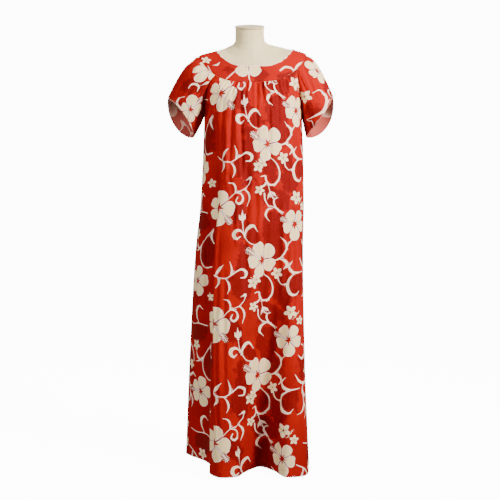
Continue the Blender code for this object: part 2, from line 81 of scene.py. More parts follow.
# Fold lines down the skirt: how far each stands off the body's ring in plan
UPPER_Z = 0.93
MIDDLE_Z = 0.58
FoldLine = namedtuple(
    "FoldLine", "name start_z upper_x upper_y middle_x middle_y hem_x hem_y"
)
FRONT_FOLDS = (
    FoldLine("right side seam", 1.10, 0.000, 0.010, 0.000, 0.042, -0.002, 0.115),
    FoldLine("side fold", 1.12, 0.000, 0.008, 0.004, 0.045, 0.013, 0.128),
    FoldLine("side fold front", 1.15, 0.004, 0.006, 0.014, 0.042, 0.040, 0.117),
    FoldLine("deep valley", 1.19, 0.010, 0.024, 0.018, 0.056, 0.036, 0.100),
    FoldLine("overhanging edge", 1.19, -0.012, -0.002, 0.002, -0.006, 0.004, 0.004),
    FoldLine("right ridge", 1.15, -0.010, -0.006, -0.010, -0.012, -0.013, -0.020),
    FoldLine("right ridge inner", 1.15, -0.006, 0.000, -0.014, -0.006, -0.029, -0.004),
    FoldLine("valley flank right", 1.15, -0.004, 0.008, -0.024, 0.026, -0.055, 0.068),
    FoldLine("centre valley", 1.17, -0.010, 0.014, -0.030, 0.040, -0.067, 0.095),
    FoldLine("valley flank left", 1.15, -0.006, 0.004, -0.028, 0.010, -0.065, 0.020),
    FoldLine("left ridge", 1.17, -0.008, -0.008, -0.024, -0.036, -0.056, -0.096),
    FoldLine("left ridge outer", 1.15, -0.002, -0.010, -0.006, -0.050, -0.013, -0.124),
    FoldLine("left side seam", 1.10, 0.000, -0.004, 0.000, -0.020, 0.002, -0.060),
)
BACK_FOLDS = (
    FRONT_FOLDS[-1],
    FoldLine("left side back", 1.05, 0.001, -0.003, 0.005, -0.014, 0.014, -0.042),
    FoldLine("left back corner", 1.02, 0.002, 0.001, 0.010, -0.003, 0.028, -0.014),
    FoldLine("left back ridge", 1.00, 0.002, 0.003, 0.009, 0.004, 0.023, 0.008),
    FoldLine("left back valley", 0.98, 0.001, -0.002, 0.006, -0.012, 0.018, -0.034),
    FoldLine("middle ridge left", 1.00, 0.002, 0.002, 0.014, 0.000, 0.038, -0.004),
    FoldLine("middle ridge right", 1.00, 0.004, 0.003, 0.022, 0.002, 0.058, -0.002),
    FoldLine("middle valley", 0.98, 0.005, -0.003, 0.032, -0.016, 0.086, -0.042),
    FoldLine("right ridge left", 1.00, 0.007, 0.004, 0.038, 0.006, 0.096, 0.012),
    FoldLine("right ridge right", 1.02, 0.007, 0.005, 0.036, 0.018, 0.089, 0.048),
    FoldLine("right back valley", 1.02, 0.005, 0.004, 0.030, 0.014, 0.076, 0.040),
    FoldLine("right back corner", 1.05, 0.003, 0.012, 0.014, 0.042, 0.035, 0.115),
    FRONT_FOLDS[0],
)
STEPS_PER_FOLD = 24
FOLDS_FULL_BELOW = 0.045

# Gathers below the yoke seam. The last is how quickly they rise from the side seams
GATHERS = 24
GATHER_AT_SEAM = 0.0010
GATHER_DEPTH = 0.0024
GATHER_FULL_AT = 0.014
GATHER_LENGTH = 0.075
GATHER_END_RISE = 12

# The panels' fine grids: columns and the distance between rows
PANEL_TOP = YOKE_SEAM + YOKE_SEAM_GAP
PANEL_COLUMNS = 196
PANEL_ROW_STEP = 0.0036
EVEN_COLUMNS_Z = (1.20, 1.02)

# Sleeves of two petals, as in the solids. The side is 1 for the wearer's left.
Sleeve = namedtuple(
    "Sleeve", "name side top_x top_z under_x under_z half_depth front_reach back_reach puff"
)
SLEEVES = (
    Sleeve("left", 1, 0.291, 1.285, 0.196, 1.145, 0.080, 0.008, 0.042, 0.015),
    Sleeve("right", -1, 0.289, 1.270, 0.196, 1.144, 0.078, -0.017, 0.031, 0.018),
)
Armhole = namedtuple("Armhole", "at_yoke curve")
ARMHOLES = {1: Armhole(39.0, 2.2), -1: Armhole(51.0, 1.3)}
PetalEdge = namedtuple("PetalEdge", "top quarter middle rim")
PETAL_EDGES = {1: PetalEdge(2, 12, 19, 32), -1: PetalEdge(2, 24, 8, 4)}
EDGE_PLACES = (0.0, 0.25, 0.55, 1.0)
PUFF_PLACE = 0.30
PUFF_UNDERARM = 0.2
RIM_FULLNESS = 1.5
PETAL_COLUMNS = 112
PETAL_ROWS = 64
PETAL_OVERLAP = (30.0, 26.0)
PETAL_LAYER = CLOTH + 0.0012
PETAL_LAYER_FADE = (6.0, 34.0)
PETAL_CORNER = 0.07
PETAL_CORNER_WIDTH = 10.0
UNDERARM_SEAM_DEGREES = 0.5


def smooth(xs, ys, x):
    """A curve through the points (xs, ys) that never overshoots them, read at x."""
    xs, ys = np.asarray(xs, float), np.asarray(ys, float)
    x = np.clip(np.asarray(x, float), xs[0], xs[-1])
    step = np.diff(xs)
    slope = np.diff(ys) / step
    inner = np.zeros(len(xs) - 2)
    same = slope[:-1] * slope[1:] > 0
    inner[same] = 2 * slope[:-1][same] * slope[1:][same] / (slope[:-1] + slope[1:])[same]
    tangent = np.concatenate(([slope[0]], inner, [slope[-1]]))
    k = np.clip(np.searchsorted(xs, x, side="right") - 1, 0, len(step) - 1)
    t = (x - xs[k]) / step[k]
    return (
        ys[k] * (1 + 2 * t) * (1 - t) ** 2
        + tangent[k] * step[k] * t * (1 - t) ** 2
        + ys[k + 1] * t**2 * (3 - 2 * t)
        + tangent[k + 1] * step[k] * t**2 * (t - 1)
    )


def ease(low, high, value):
    """0 below low, 1 above high, and a smooth rise between them."""
    t = np.clip((value - low) / (high - low), 0, 1)
    return t * t * (3 - 2 * t)


def signed_power(value, power):
    return np.sign(value) * np.abs(value) ** power


def unit(vectors):
    return vectors / np.linalg.norm(vectors, axis=-1, keepdims=True)


def dress_ring(station):
    """The dress's ring, or rings, at distances down the cloth."""
    stations = [ring.station for ring in DRESS_RINGS]
    columns = zip(*[ring[2:] for ring in DRESS_RINGS])
    return Ring("", station, *[smooth(stations, column, station) for column in columns])


def dress_surface(angle, station):
    """Points of the dress: angle 0 is the wearer's left, -90 the front."""
    ring = dress_ring(station)
    turn = np.radians(np.asarray(angle, float))
    across = signed_power(np.cos(turn), 2 / SQUARENESS)
    backward = signed_power(np.sin(turn), 2 / SQUARENESS)
    ahead = backward < 0
    x = ring.centre_x + ring.half_width * across
    y = np.where(ahead, ring.front, ring.back) * backward
    drop = 1 - np.abs(across) ** SHOULDER_SPREAD
    z_end = np.where(ahead, ring.z_front, ring.z_back)
    z = ring.z_side + (z_end - ring.z_side) * drop + ring.tilt * (x - ring.centre_x)
    return np.stack(np.broadcast_arrays(x, y, z), axis=-1)


def station_at(z):
    return HEM + HEM_Z - z


def armhole_angle(side, station):
    down = np.clip((station - YOKE_SEAM) / (UNDERARM - YOKE_SEAM), 0, 1)
    return ARMHOLES[side].at_yoke * (1 - down ** ARMHOLES[side].curve)


def armhole_point(side, turn):
    """Points of the armhole: turn 0 is the shoulder tip, 1 the underarm by the
    front, and -1 the underarm by the back."""
    share = np.abs(turn)
    down = np.clip((share - ARMHOLE_ON_YOKE) / (1 - ARMHOLE_ON_YOKE), 0, 1)
    station = YOKE_SEAM + (UNDERARM - YOKE_SEAM) * down
    on_yoke = ARMHOLES[side].at_yoke * share / ARMHOLE_ON_YOKE
    angle = np.where(share <= ARMHOLE_ON_YOKE, on_yoke, armhole_angle(side, station))
    angle = -np.sign(turn) * angle
    return dress_surface(angle if side > 0 else 180 - angle, station)


def fold_offset(line, z):
    heights = (HEM_Z, MIDDLE_Z, UPPER_Z, line.start_z, line.start_z + 1)
    x = smooth(heights, (line.hem_x, line.middle_x, line.upper_x, 0, 0), z)
    y = smooth(heights, (line.hem_y, line.middle_y, line.upper_y, 0, 0), z)
    return np.array([x, y, 0.0])


def curve_through(points, per_span, closed=True):
    """A smooth curve through points, with per_span steps to each span."""
    if not closed:
        first, last = 2 * points[0] - points[1], 2 * points[-1] - points[-2]
        padded = np.concatenate(([first], points, [last]))
        before, points, after, beyond = padded[:-3], padded[1:-2], padded[2:-1], padded[3:]
    else:
        before, after = np.roll(points, 1, axis=0), np.roll(points, -1, axis=0)
        beyond = np.roll(points, -2, axis=0)

    def knot(start, end):
        return np.sqrt(np.linalg.norm(end - start, axis=1))[:, None]

    t1 = knot(before, points)
    t2 = t1 + knot(points, after)
    t3 = t2 + knot(after, beyond)
    found = []
    for step in range(per_span):
        t = t1 + (t2 - t1) * step / per_span
        a1 = (before * (t1 - t) + points * t) / t1
        a2 = (points * (t2 - t) + after * (t - t1)) / (t2 - t1)
        a3 = (after * (t3 - t) + beyond * (t - t2)) / (t3 - t2)
        b1 = (a1 * (t2 - t) + a2 * t) / t2
        b2 = (a2 * (t3 - t) + a3 * (t - t1)) / (t3 - t1)
        found.append((b1 * (t2 - t) + b2 * (t - t1)) / (t2 - t1))
    curve = np.stack(found, axis=1).reshape(-1, points.shape[1])
    return curve if closed else np.concatenate((curve, after[-1:]))


def skirt_section(z):
    """The whole dress's section at height z: front points, then back points."""
    lines = FRONT_FOLDS[:-1] + BACK_FOLDS[:-1]
    angles = np.linspace(-180, 180, len(lines), endpoint=False)
    points = dress_surface(angles, station_at(z))
    points = points + np.array([fold_offset(line, z) for line in lines])
    curve = curve_through(points, STEPS_PER_FOLD)
    half = STEPS_PER_FOLD * (len(FRONT_FOLDS) - 1)
    return curve[: half + 1], np.concatenate((curve[half:], curve[:1]))


def gather_wave(share, below_seam):
    """How far the gathers push the cloth out, along a row."""
    number = GATHERS * share
    wave = np.sin(2 * np.pi * number)
    depth = 1 + 0.25 * np.sin(1.9 * number) + 0.15 * np.sin(3.1 * number + 1)
    length = GATHER_LENGTH * (1 + 0.30 * np.sin(1.3 * number + 2))
    rise = min(1.0, below_seam / GATHER_FULL_AT)
    size = GATHER_AT_SEAM + (GATHER_DEPTH - GATHER_AT_SEAM) * rise
    fade = np.exp(-((below_seam / length) ** 2))
    ends = np.minimum(1, GATHER_END_RISE * np.minimum(share, 1 - share))
    return wave * depth * size * fade * ends


def panel_angles(front, station, share):
    gap = math.degrees(ARMHOLE_GAP / UNDERARM_RING.half_width)
    left = armhole_angle(1, station) + gap
    right = armhole_angle(-1, station) + gap
    ends = (right - 180, -90, -left) if front else (left, 90, 180 - right)
    return np.interp(share, (0, 0.5, 1), ends)


def gathered(row, station, share):
    """A row with its gathers, which stand off the middle of the dress."""
    out = row - np.array([dress_ring(station).centre_x, 0, 0])
    out[:, 2] = 0
    return row + unit(out) * gather_wave(share, station - PANEL_TOP)[:, None]


def panel_row(front, station, share):
    """One row of a gathered panel above the underarm."""
    return gathered(dress_surface(panel_angles(front, station, share), station), station, share)


def running(steps, axis=0):
    """Running sums from 0 along an axis."""
    first = np.zeros_like(np.take(steps, [0], axis=axis))
    return np.concatenate((first, np.cumsum(steps, axis=axis)), axis=axis)


def along(points, axis=0):
    """Distances between the points along an axis, added up."""
    return running(np.linalg.norm(np.diff(points, axis=axis), axis=-1), axis)


def skirt_row(front, z, share):
    """One row of a panel below the underarm. Its columns grow even further down."""
    dense = skirt_section(z)[0 if front else 1]
    spans = len(dense) - 1
    station = station_at(z)
    ring = dress_surface(panel_angles(front, station, np.linspace(0, 1, spans + 1)), station)
    dense = ring + (dense - ring) * ease(0, FOLDS_FULL_BELOW, UNDERARM_Z - z)
    lengths = along(dense)
    even = np.interp(share * lengths[-1], lengths, np.arange(spans + 1))
    evenness = 1 - ease(EVEN_COLUMNS_Z[1], EVEN_COLUMNS_Z[0], z)
    place = (1 - evenness) * share * spans + evenness * even
    row = np.stack([np.interp(place, np.arange(spans + 1), dense[:, k]) for k in range(3)], 1)
    for end, inner in ((0, 1), (-1, -2)):
        way = row[inner] - row[end]
        row[end] += way / np.linalg.norm(way) * SEAM_GAP / 2
    return gathered(row, station, share)


def panel_grid(front):
    """All points of a panel's outer face, from the yoke seam to the hem."""
    share = np.linspace(0, 1, PANEL_COLUMNS + 1)
    upper = 2 * round((UNDERARM - PANEL_TOP) / PANEL_ROW_STEP / 2)
    lower = 2 * round((UNDERARM_Z - HEM_Z) / PANEL_ROW_STEP / 2)
    stations = np.linspace(PANEL_TOP, UNDERARM, upper + 1)
    heights = np.linspace(UNDERARM_Z, HEM_Z, lower + 1)[1:]
    rows = [panel_row(front, station, share) for station in stations]
    return np.array(rows + [skirt_row(front, z, share) for z in heights])


def grid_normals(grid):
    """The outward way at each point of a grid, whose rows run to the right."""
    across = np.gradient(grid, axis=1)
    down = np.gradient(grid, axis=0)
    return unit(np.cross(down, across))


# Print chart. Its places are in cloth millimetres, u to the right and v up. The
# repeat's origin, in metres, is the middle of its first large flower.
REPEAT_U = 500
REPEAT_V = 385
REPEAT_ORIGIN = (-0.111, 0.888)

# A hibiscus has its place, the angle its stamen points at, and the angle and length
# of each petal
Hibiscus = namedtuple("Hibiscus", "u v stamen petals")
Blossom = namedtuple("Blossom", "u v radius turn")
# A vine has its half widths at its start, middle and end, and a dark field has the
# points of its outline
Vine = namedtuple("Vine", "start middle end points")
Chart = namedtuple("Chart", "flowers blossoms vines fields")

REPEAT = Chart(
    flowers=(
        Hibiscus(0, 0, -50, ((84, 58), (-8, 54), (-88, 62), (208, 48), (148, 48))),
        Hibiscus(158, -174, 146, ((106, 62), (60, 60), (-32, 47), (-100, 56), (196, 46))),
        Hibiscus(264, -53, 160, ((118, 50), (62, 50), (-8, 44), (-84, 56), (204, 42))),
        Hibiscus(-98, 139, 178, ((78, 54), (6, 46), (-76, 54), (218, 46), (140, 46))),
    ),
    blossoms=(
        Blossom(213, 168, 20, 10),
        Blossom(130, 136, 20, 40),
        Blossom(266, 38, 24, 86),
        Blossom(134, 58, 17, 30),
        Blossom(302, 10, 16, 50),
        Blossom(-110, -84, 20, 20),
        Blossom(-40, 86, 16, 60),
        Blossom(352, -155, 19, 15),
        Blossom(140, -238, 18, 12),
    ),
    vines=(
        # The first flower's stem, with an up hook, a spiral and a drooping curl
        Vine(1.2, 1.3, 1.1, ((30, 26), (54, 48), (83, 61), (100, 80), (103, 97))),
        Vine(1.1, 3.9, 0.8, ((103, 88), (104, 99), (91, 92))),
        Vine(1.1, 3.1, 0.9, ((53, 47), (55, 64), (47, 79), (34, 82))),
        Vine(1.1, 3.5, 1.7, ((56, 49), (74, 44), (80, 26), (68, 12), (57, 20), (61, 31))),
        Vine(1.1, 2.9, 0.8, ((83, 61), (96, 51), (102, 32), (96, 8))),
        # Bud between two curls
        Vine(0.9, 5.7, 0.8, ((83, -48), (82, -34), (80, -12))),
        Vine(0.8, 3.3, 0.8, ((82, -44), (90, -34), (91, -24))),
        Vine(0.8, 3.3, 0.8, ((82, -44), (74, -36), (71, -28))),
        Vine(1.2, 1.2, 1.4, ((83, -46), (88, -74), (97, -98), (112, -117), (134, -124))),
        Vine(1.2, 5.9, 1.7, ((90, -87), (77, -76), (62, -79), (58, -93), (68, -104), (77, -98))),
        Vine(1.2, 5.5, 0.9, ((95, -96), (99, -76), (109, -63), (122, -61), (133, -77))),
        # Three-way sprig above the flower
        Vine(0.9, 5.2, 0.7, ((4, 163), (14, 181), (26, 194))),
        Vine(0.9, 4.2, 0.7, ((8, 156), (14, 140), (6, 122))),
        Vine(1.0, 1.5, 1.7, ((-10, 172), (8, 156), (36, 152), (56, 162), (76, 177))),
        Vine(2.0, 4.6, 1.5, ((70, 173), (90, 182), (106, 172), (103, 156), (90, 154))),
        Vine(2.6, 2.9, 0.7, ((54, 162), (57, 180), (50, 204))),
        Vine(1.2, 3.3, 0.8, ((34, 152), (47, 137), (51, 119), (45, 103))),
        # From the second flower to the third, with a horn and a hanging curl
        Vine(1.2, 2.6, 1.4, (
            (182, -172), (202, -175), (222, -166), (238, -144), (246, -120), (256, -108),
        )),
        Vine(3.2, 3.3, 0.7, ((242, -136), (238, -116), (219, -98))),
        Vine(1.1, 5.2, 1.4, ((216, -170), (234, -174), (246, -188), (237, -202))),
        # Great arc below the second flower
        Vine(1.1, 2.4, 3.0, ((172, -220), (190, -238), (201, -263), (199, -289), (184, -308))),
        Vine(3.0, 2.9, 1.4, ((186, -307), (168, -308), (155, -293), (152, -279), (141, -281))),
        Vine(1.2, 3.1, 0.9, ((158, -300), (148, -312), (138, -318))),
        Vine(1.1, 1.1, 1.1, ((164, -309), (172, -333), (180, -352))),
        Vine(0.8, 3.9, 0.7, ((172, -330), (184, -338), (190, -344))),
        Vine(0.8, 3.9, 0.7, ((172, -330), (168, -344), (164, -354))),
        # Hook and branches that reach the third flower
        Vine(0.9, 2.9, 1.1, ((196, 34), (186, 30), (185, 16), (198, -3), (214, -18))),
        Vine(1.2, 1.4, 2.7, ((218, -14), (190, 2), (168, 9), (154, 25), (151, 44))),
        Vine(1.1, 5.0, 0.8, ((184, 1), (166, -8), (160, -25), (174, -41))),
        # Arc and curls at the far side of the third flower
        Vine(0.9, 4.8, 1.2, ((262, 206), (253, 189), (262, 174), (278, 169), (310, 173))),
        Vine(1.4, 5.2, 0.9, ((278, 169), (257, 150), (251, 124), (262, 99), (281, 95), (292, 106))),
        Vine(1.2, 1.5, 2.3, ((250, 134), (234, 129), (222, 139), (217, 155))),
        # Hooks and the loop beside the first flower's far side
        Vine(1.1, 4.6, 1.1, ((-74, 44), (-87, 53), (-102, 41), (-104, 18), (-91, -8))),
        Vine(1.4, 1.4, 1.4, ((-160, -4), (-128, -11), (-91, -8), (-60, -14))),
        Vine(1.1, 1.4, 2.0, (
            (-34, -70), (-60, -100), (-78, -132), (-79, -172), (-60, -200), (-38, -198),
        )),
        Vine(1.1, 3.1, 0.9, ((-72, -118), (-92, -136), (-112, -142))),
        Vine(0.9, 3.7, 0.9, ((-110, -110), (-104, -126), (-90, -135))),
        Vine(0.9, 3.9, 1.1, ((-32, -74), (-40, -94), (-30, -116))),
        # Vines that fill the far side of the repeat
        Vine(1.2, 2.2, 1.4, ((316, -70), (345, -85), (368, -112), (372, -140))),
        Vine(1.1, 4.4, 1.1, ((340, -82), (334, -104), (318, -116), (304, -106))),
        Vine(1.4, 4.6, 1.4, ((296, -170), (312, -190), (340, -196), (364, -186), (376, -196))),
        Vine(1.1, 4.0, 1.0, ((330, -196), (326, -218), (336, -236), (352, -232))),
        Vine(1.1, 2.9, 1.0, ((330, 150), (336, 120), (326, 96), (312, 90))),
        Vine(1.1, 4.2, 0.9, ((334, 128), (350, 110), (352, 90), (344, 76))),
    ),
    fields=(
        (
            (46, 16), (72, 22), (90, 0), (100, -40), (108, -72), (98, -104), (80, -100), (76, -66),
            (58, -52), (42, -36),
        ),
        ((100, -104), (103, -78), (122, -65), (136, -82), (148, -108), (122, -120)),
        (
            (78, -112), (106, -120), (126, -150), (120, -196), (128, -240), (116, -298),
            (90, -312), (70, -290), (62, -240), (74, -200), (76, -150),
        ),
        (
            (150, -34), (186, -8), (222, -22), (240, -60), (226, -100), (237, -132), (234, -160),
            (212, -178), (178, -170), (166, -110), (150, -80),
        ),
        (
            (160, -212), (184, -226), (199, -262), (196, -288), (182, -304), (162, -296),
            (150, -268), (150, -234),
        ),
        (
            (142, -306), (182, -314), (216, -328), (242, -348), (236, -382), (190, -390),
            (152, -376), (140, -340),
        ),
        (
            (208, -214), (236, -208), (262, -250), (270, -298), (254, -340), (222, -328),
            (206, -292), (206, -256),
        ),
        ((52, 150), (72, 168), (106, 170), (122, 140), (104, 104), (64, 98), (52, 122)),
        ((-136, -16), (-64, -16), (-52, -50), (-84, -74), (-136, -64)),
        ((-36, -80), (-58, -104), (-76, -134), (-76, -170), (-58, -196), (-34, -196), (-26, -140)),
        ((262, 160), (256, 124), (270, 100), (296, 100), (318, 128), (306, 164)),
        ((306, -112), (336, -104), (362, -130), (356, -176), (322, -186), (300, -152)),
    ),
)

# Placed motifs of the pieces cut with their own part of the print, as seen from the
# front
YOKE_FRONT_PRINT = Chart(
    flowers=(
        Hibiscus(-4, 1377, 92, ((226, 54), (314, 52), (14, 46), (60, 40), (140, 46))),
    ),
    blossoms=(
        Blossom(198, 1372, 17, 20),
        Blossom(-150, 1402, 18, 50),
    ),
    vines=(
        Vine(0.9, 2.4, 0.9, ((-50, 1354), (-64, 1338), (-84, 1318))),
        Vine(1.8, 2.2, 0.9, ((-4, 1344), (-3, 1326), (1, 1312))),
        Vine(3.3, 4.4, 1.8, ((105, 1357), (119, 1369), (137, 1366), (151, 1353))),
        Vine(1.8, 3.7, 2.0, ((150, 1352), (158, 1370), (171, 1384), (191, 1394))),
        Vine(1.8, 2.9, 0.9, ((176, 1382), (182, 1360), (166, 1330))),
        Vine(1.1, 1.5, 1.1, ((-142, 1372), (-130, 1348), (-116, 1330))),
        Vine(0.9, 3.7, 0.8, ((-104, 1398), (-112, 1384), (-124, 1380))),
    ),
    fields=(
        ((4, 1330), (10, 1358), (48, 1356), (60, 1334), (40, 1312), (14, 1314)),
        ((-86, 1372), (-70, 1378), (-56, 1360), (-70, 1342), (-88, 1352)),
        ((100, 1340), (140, 1350), (160, 1332), (130, 1318), (100, 1322)),
    ),
)
RIGHT_SLEEVE_PRINT = Chart(
    flowers=(
        Hibiscus(-146, 1377, 330, ((140, 46), (190, 58), (236, 70), (292, 50), (70, 40))),
        Hibiscus(-192, 1220, 50, ((88, 50), (-22, 42), (-82, 44), (230, 44), (164, 30))),
    ),
    blossoms=(),
    vines=(
        Vine(0.7, 4.0, 0.7, ((-140, 1321), (-152, 1313), (-165, 1306))),
        Vine(0.9, 4.0, 0.9, ((-203, 1296), (-197, 1308), (-183, 1309), (-173, 1299), (-176, 1284))),
        Vine(0.8, 4.0, 0.9, ((-216, 1263), (-235, 1259), (-239, 1240), (-227, 1226), (-208, 1216))),
        Vine(0.9, 1.4, 1.1, ((-282, 1252), (-252, 1227), (-228, 1217))),
        Vine(0.8, 3.5, 0.9, ((-206, 1152), (-203, 1167), (-192, 1170), (-184, 1157))),
        Vine(0.9, 3.1, 0.8, ((-252, 1200), (-262, 1180), (-252, 1164))),
    ),
    fields=(
        ((-220, 1330), (-170, 1334), (-150, 1300), (-180, 1272), (-228, 1284)),
        ((-168, 1280), (-146, 1284), (-138, 1200), (-160, 1168), (-174, 1226)),
        ((-264, 1238), (-226, 1256), (-216, 1204), (-240, 1166), (-272, 1190)),
    ),
)
LEFT_SLEEVE_PRINT = Chart(
    flowers=(
        Hibiscus(238, 1366, 10, ((136, 48), (226, 34), (282, 50), (330, 46), (76, 42))),
    ),
    blossoms=(Blossom(184, 1268, 24, 14),),
    vines=(
        Vine(0.8, 5.2, 1.0, (
            (212, 1280), (231, 1289), (247, 1272), (249, 1242), (236, 1214), (207, 1197),
            (181, 1188),
        )),
        Vine(1.4, 1.4, 0.7, ((249, 1240), (256, 1249), (263, 1257))),
        Vine(1.1, 2.6, 0.8, ((226, 1208), (237, 1209), (247, 1206))),
        Vine(0.8, 1.7, 0.8, ((181, 1184), (196, 1180), (201, 1163))),
        Vine(0.9, 2.9, 0.8, ((272, 1300), (262, 1288), (268, 1270))),
    ),
    fields=(
        ((186, 1240), (222, 1232), (232, 1212), (206, 1192), (180, 1198)),
        ((182, 1182), (216, 1178), (224, 1154), (198, 1140), (184, 1158)),
        ((252, 1330), (282, 1320), (290, 1280), (268, 1262), (252, 1290)),
    ),
)

# The print's own numbers, in millimetres. FAR stands for no motif near
MM = 0.001
FAR = 400.0
FLOWER_REACH = 77.0
PETAL_NOMINAL = 60.0
PETAL_AXES = (36, 108, 180, 252, 324)
BLOSSOM_REACH = 34.0
BLOSSOM_NOMINAL = 20.0
VINE_REACH = 16.0
VINE_SWELL = 1.6
VINE_STEPS = 5
FIELD_STEPS = 3
PRINT_VALUES = (
    "flower_x", "flower_y", "flower_far", "blossom_x", "blossom_y", "blossom_far",
    "vine_side", "vine_far",
)


def nearest_place(u, v, a, b):
    """The share of the way from a to b at which points come nearest, and how near."""
    way = b - a
    t = np.clip(((u - a[0]) * way[0] + (v - a[1]) * way[1]) / (way @ way), 0, 1)
    return t, np.hypot(u - a[0] - t * way[0], v - a[1] - t * way[1])


def outline_depth(u, v, outline):
    """How deep points lie inside a closed outline. Outside is negative."""
    nearest = np.full(u.shape, np.inf)
    inside = np.zeros(u.shape, bool)
    for a, b in zip(outline, np.roll(outline, -1, axis=0)):
        nearest = np.minimum(nearest, nearest_place(u, v, a, b)[1])
        if a[1] != b[1]:
            crosses = (a[1] > v) != (b[1] > v)
            at = a[0] + (v - a[1]) / (b[1] - a[1]) * (b[0] - a[0])
            inside ^= crosses & (u < at)
    return np.where(inside, nearest, -nearest)


class Print:
    """The print at a set of cloth points, in millimetres: each point's place in its
    nearest flower and blossom, its way aside of its nearest vine, and its depth in the
    dark fields. These vary evenly, so the material draws crisp motifs from them."""

    def __init__(self, u, v, repeat):
        self.u, self.v = u.ravel() / MM, v.ravel() / MM
        self.shape = u.shape
        self.repeat = repeat
        self.values = {name: np.full(self.u.size, FAR) for name in PRINT_VALUES}
        self.values["vine_half"] = np.zeros(self.u.size)
        self.values["dark"] = np.full(self.u.size, -FAR)

    def near(self, middle, reach):
        """Numbers of the points within reach of a motif, and their places from it."""
        u, v = self.u - middle[0], self.v - middle[1]
        if self.repeat:
            u = (u + REPEAT_U / 2) % REPEAT_U - REPEAT_U / 2
            v = (v + REPEAT_V / 2) % REPEAT_V - REPEAT_V / 2
        found = np.flatnonzero((np.abs(u) < reach) & (np.abs(v) < reach))
        return found, u[found], v[found]

    def keep(self, found, far_name, far, **values):
        """Sets values at the points that this motif is nearest to."""
        closer = far < self.values[far_name][found]
        self.values[far_name][found[closer]] = far[closer]
        for name, value in values.items():
            self.values[name][found[closer]] = value[closer]

    def flower(self, flower):
        """Turns and stretches the flower's own petals onto five even ones."""
        found, u, v = self.near((flower.u, flower.v), FLOWER_REACH)
        far = np.hypot(u, v)
        turn = (np.degrees(np.arctan2(v, u)) - flower.stamen) % 360
        petals = sorted(((angle - flower.stamen) % 360, length) for angle, length in flower.petals)
        angles = [angle for angle, length in petals]
        lengths = np.interp(turn, angles, [length for angle, length in petals], period=360)
        even = np.radians(np.interp(turn, (0, *angles, 360), (0, *PETAL_AXES, 360)))
        radius = far * PETAL_NOMINAL / lengths
        x, y = radius * np.cos(even), radius * np.sin(even)
        self.keep(found, "flower_far", far, flower_x=x, flower_y=y)

    def blossom(self, blossom):
        found, u, v = self.near((blossom.u, blossom.v), BLOSSOM_REACH)
        turn = math.radians(blossom.turn)
        size = BLOSSOM_NOMINAL / blossom.radius
        x = (u * math.cos(turn) + v * math.sin(turn)) * size
        y = (v * math.cos(turn) - u * math.sin(turn)) * size
        self.keep(found, "blossom_far", np.hypot(u, v), blossom_x=x, blossom_y=y)

    def vine(self, vine):
        line = curve_through(np.array(vine.points, float), VINE_STEPS, closed=False)
        t = np.linspace(0, 1, len(line))
        half = vine.start + (vine.end - vine.start) * t
        half += (vine.middle - (vine.start + vine.end) / 2) * np.sin(np.pi * t) ** VINE_SWELL
        middle = (line.min(0) + line.max(0)) / 2
        line = line - middle
        found, u, v = self.near(middle, np.abs(line).max() + VINE_REACH)
        last = len(line) - 2
        for k, (a, b) in enumerate(zip(line[:-1], line[1:])):
            t, off = nearest_place(u, v, a, b)
            way = unit(b - a)
            side = (v - a[1]) * way[0] - (u - a[0]) * way[1]
            beyond = ((t == 0) & (k == 0)) | ((t == 1) & (k == last))
            side = np.where(beyond, side, np.sign(side) * off)
            width = half[k] + (half[k + 1] - half[k]) * t
            self.keep(found, "vine_far", off - width, vine_side=side, vine_half=width)

    def field(self, field):
        points = curve_through(np.array(field, float), FIELD_STEPS)
        middle = (points.min(0) + points.max(0)) / 2
        points = points - middle
        found, u, v = self.near(middle, np.abs(points).max() + VINE_REACH)
        dark = self.values["dark"]
        dark[found] = np.maximum(dark[found], outline_depth(u, v, points))

    def draw(self, chart):
        for flower in chart.flowers:
            self.flower(flower)
        for blossom in chart.blossoms:
            self.blossom(blossom)
        for vine in chart.vines:
            self.vine(vine)
        for field in chart.fields:
            self.field(field)
        return {name: values.reshape(self.shape) for name, values in self.values.items()}


def repeat_print(u, v, origin):
    """The repeated print at cloth places (u, v)."""
    return Print(u - origin[0], v - origin[1], repeat=True).draw(REPEAT)


def placed_print(u, v, chart):
    """A chart's own motifs, each once, at cloth places (u, v)."""
    return Print(u, v, repeat=False).draw(chart)


# How much of its length cloth that turns away keeps in the print, and how far aside
# that stops, in half widths
FRONT_FLATNESS = 0.35
BACK_FLATNESS = 0.60
FLAT_ASIDE = (0.70, 0.95)


def row_distance(grid, flatness, centre_x, half_width):
    """Cloth metres along each row. Cloth that turns away from the viewer counts less
    in the middle, by the flatness, so that the print keeps its pitch across folds."""
    step = np.diff(grid, axis=1)
    length = np.linalg.norm(step, axis=2)
    facing = np.abs(step[..., 0]) / length
    middle = (grid[:, 1:, 0] + grid[:, :-1, 0]) / 2
    aside = np.abs(middle - centre_x[:, None]) / half_width[:, None]
    keep = flatness + (1 - flatness) * ease(*FLAT_ASIDE, aside)
    step = length * (facing + keep * (1 - facing))
    distance = running(step, 1)
    for row, (found, x) in enumerate(zip(distance, grid[..., 0])):
        order = 1 if x[-1] > x[0] else -1
        distance[row] = found - np.interp(centre_x[row] * order, x * order, found)
    return distance


def panel_places(grid, front):
    """Cloth places (u, v) of a panel's points."""
    z = grid[..., 2]
    stations = station_at(np.clip(z.mean(1), HEM_Z, UNDERARM_Z))
    rings = [dress_ring(station) for station in stations]
    centre_x = np.array([ring.centre_x for ring in rings])
    half_width = np.array([ring.half_width for ring in rings])
    flatness = FRONT_FLATNESS if front else BACK_FLATNESS
    return row_distance(grid, flatness, centre_x, half_width), z


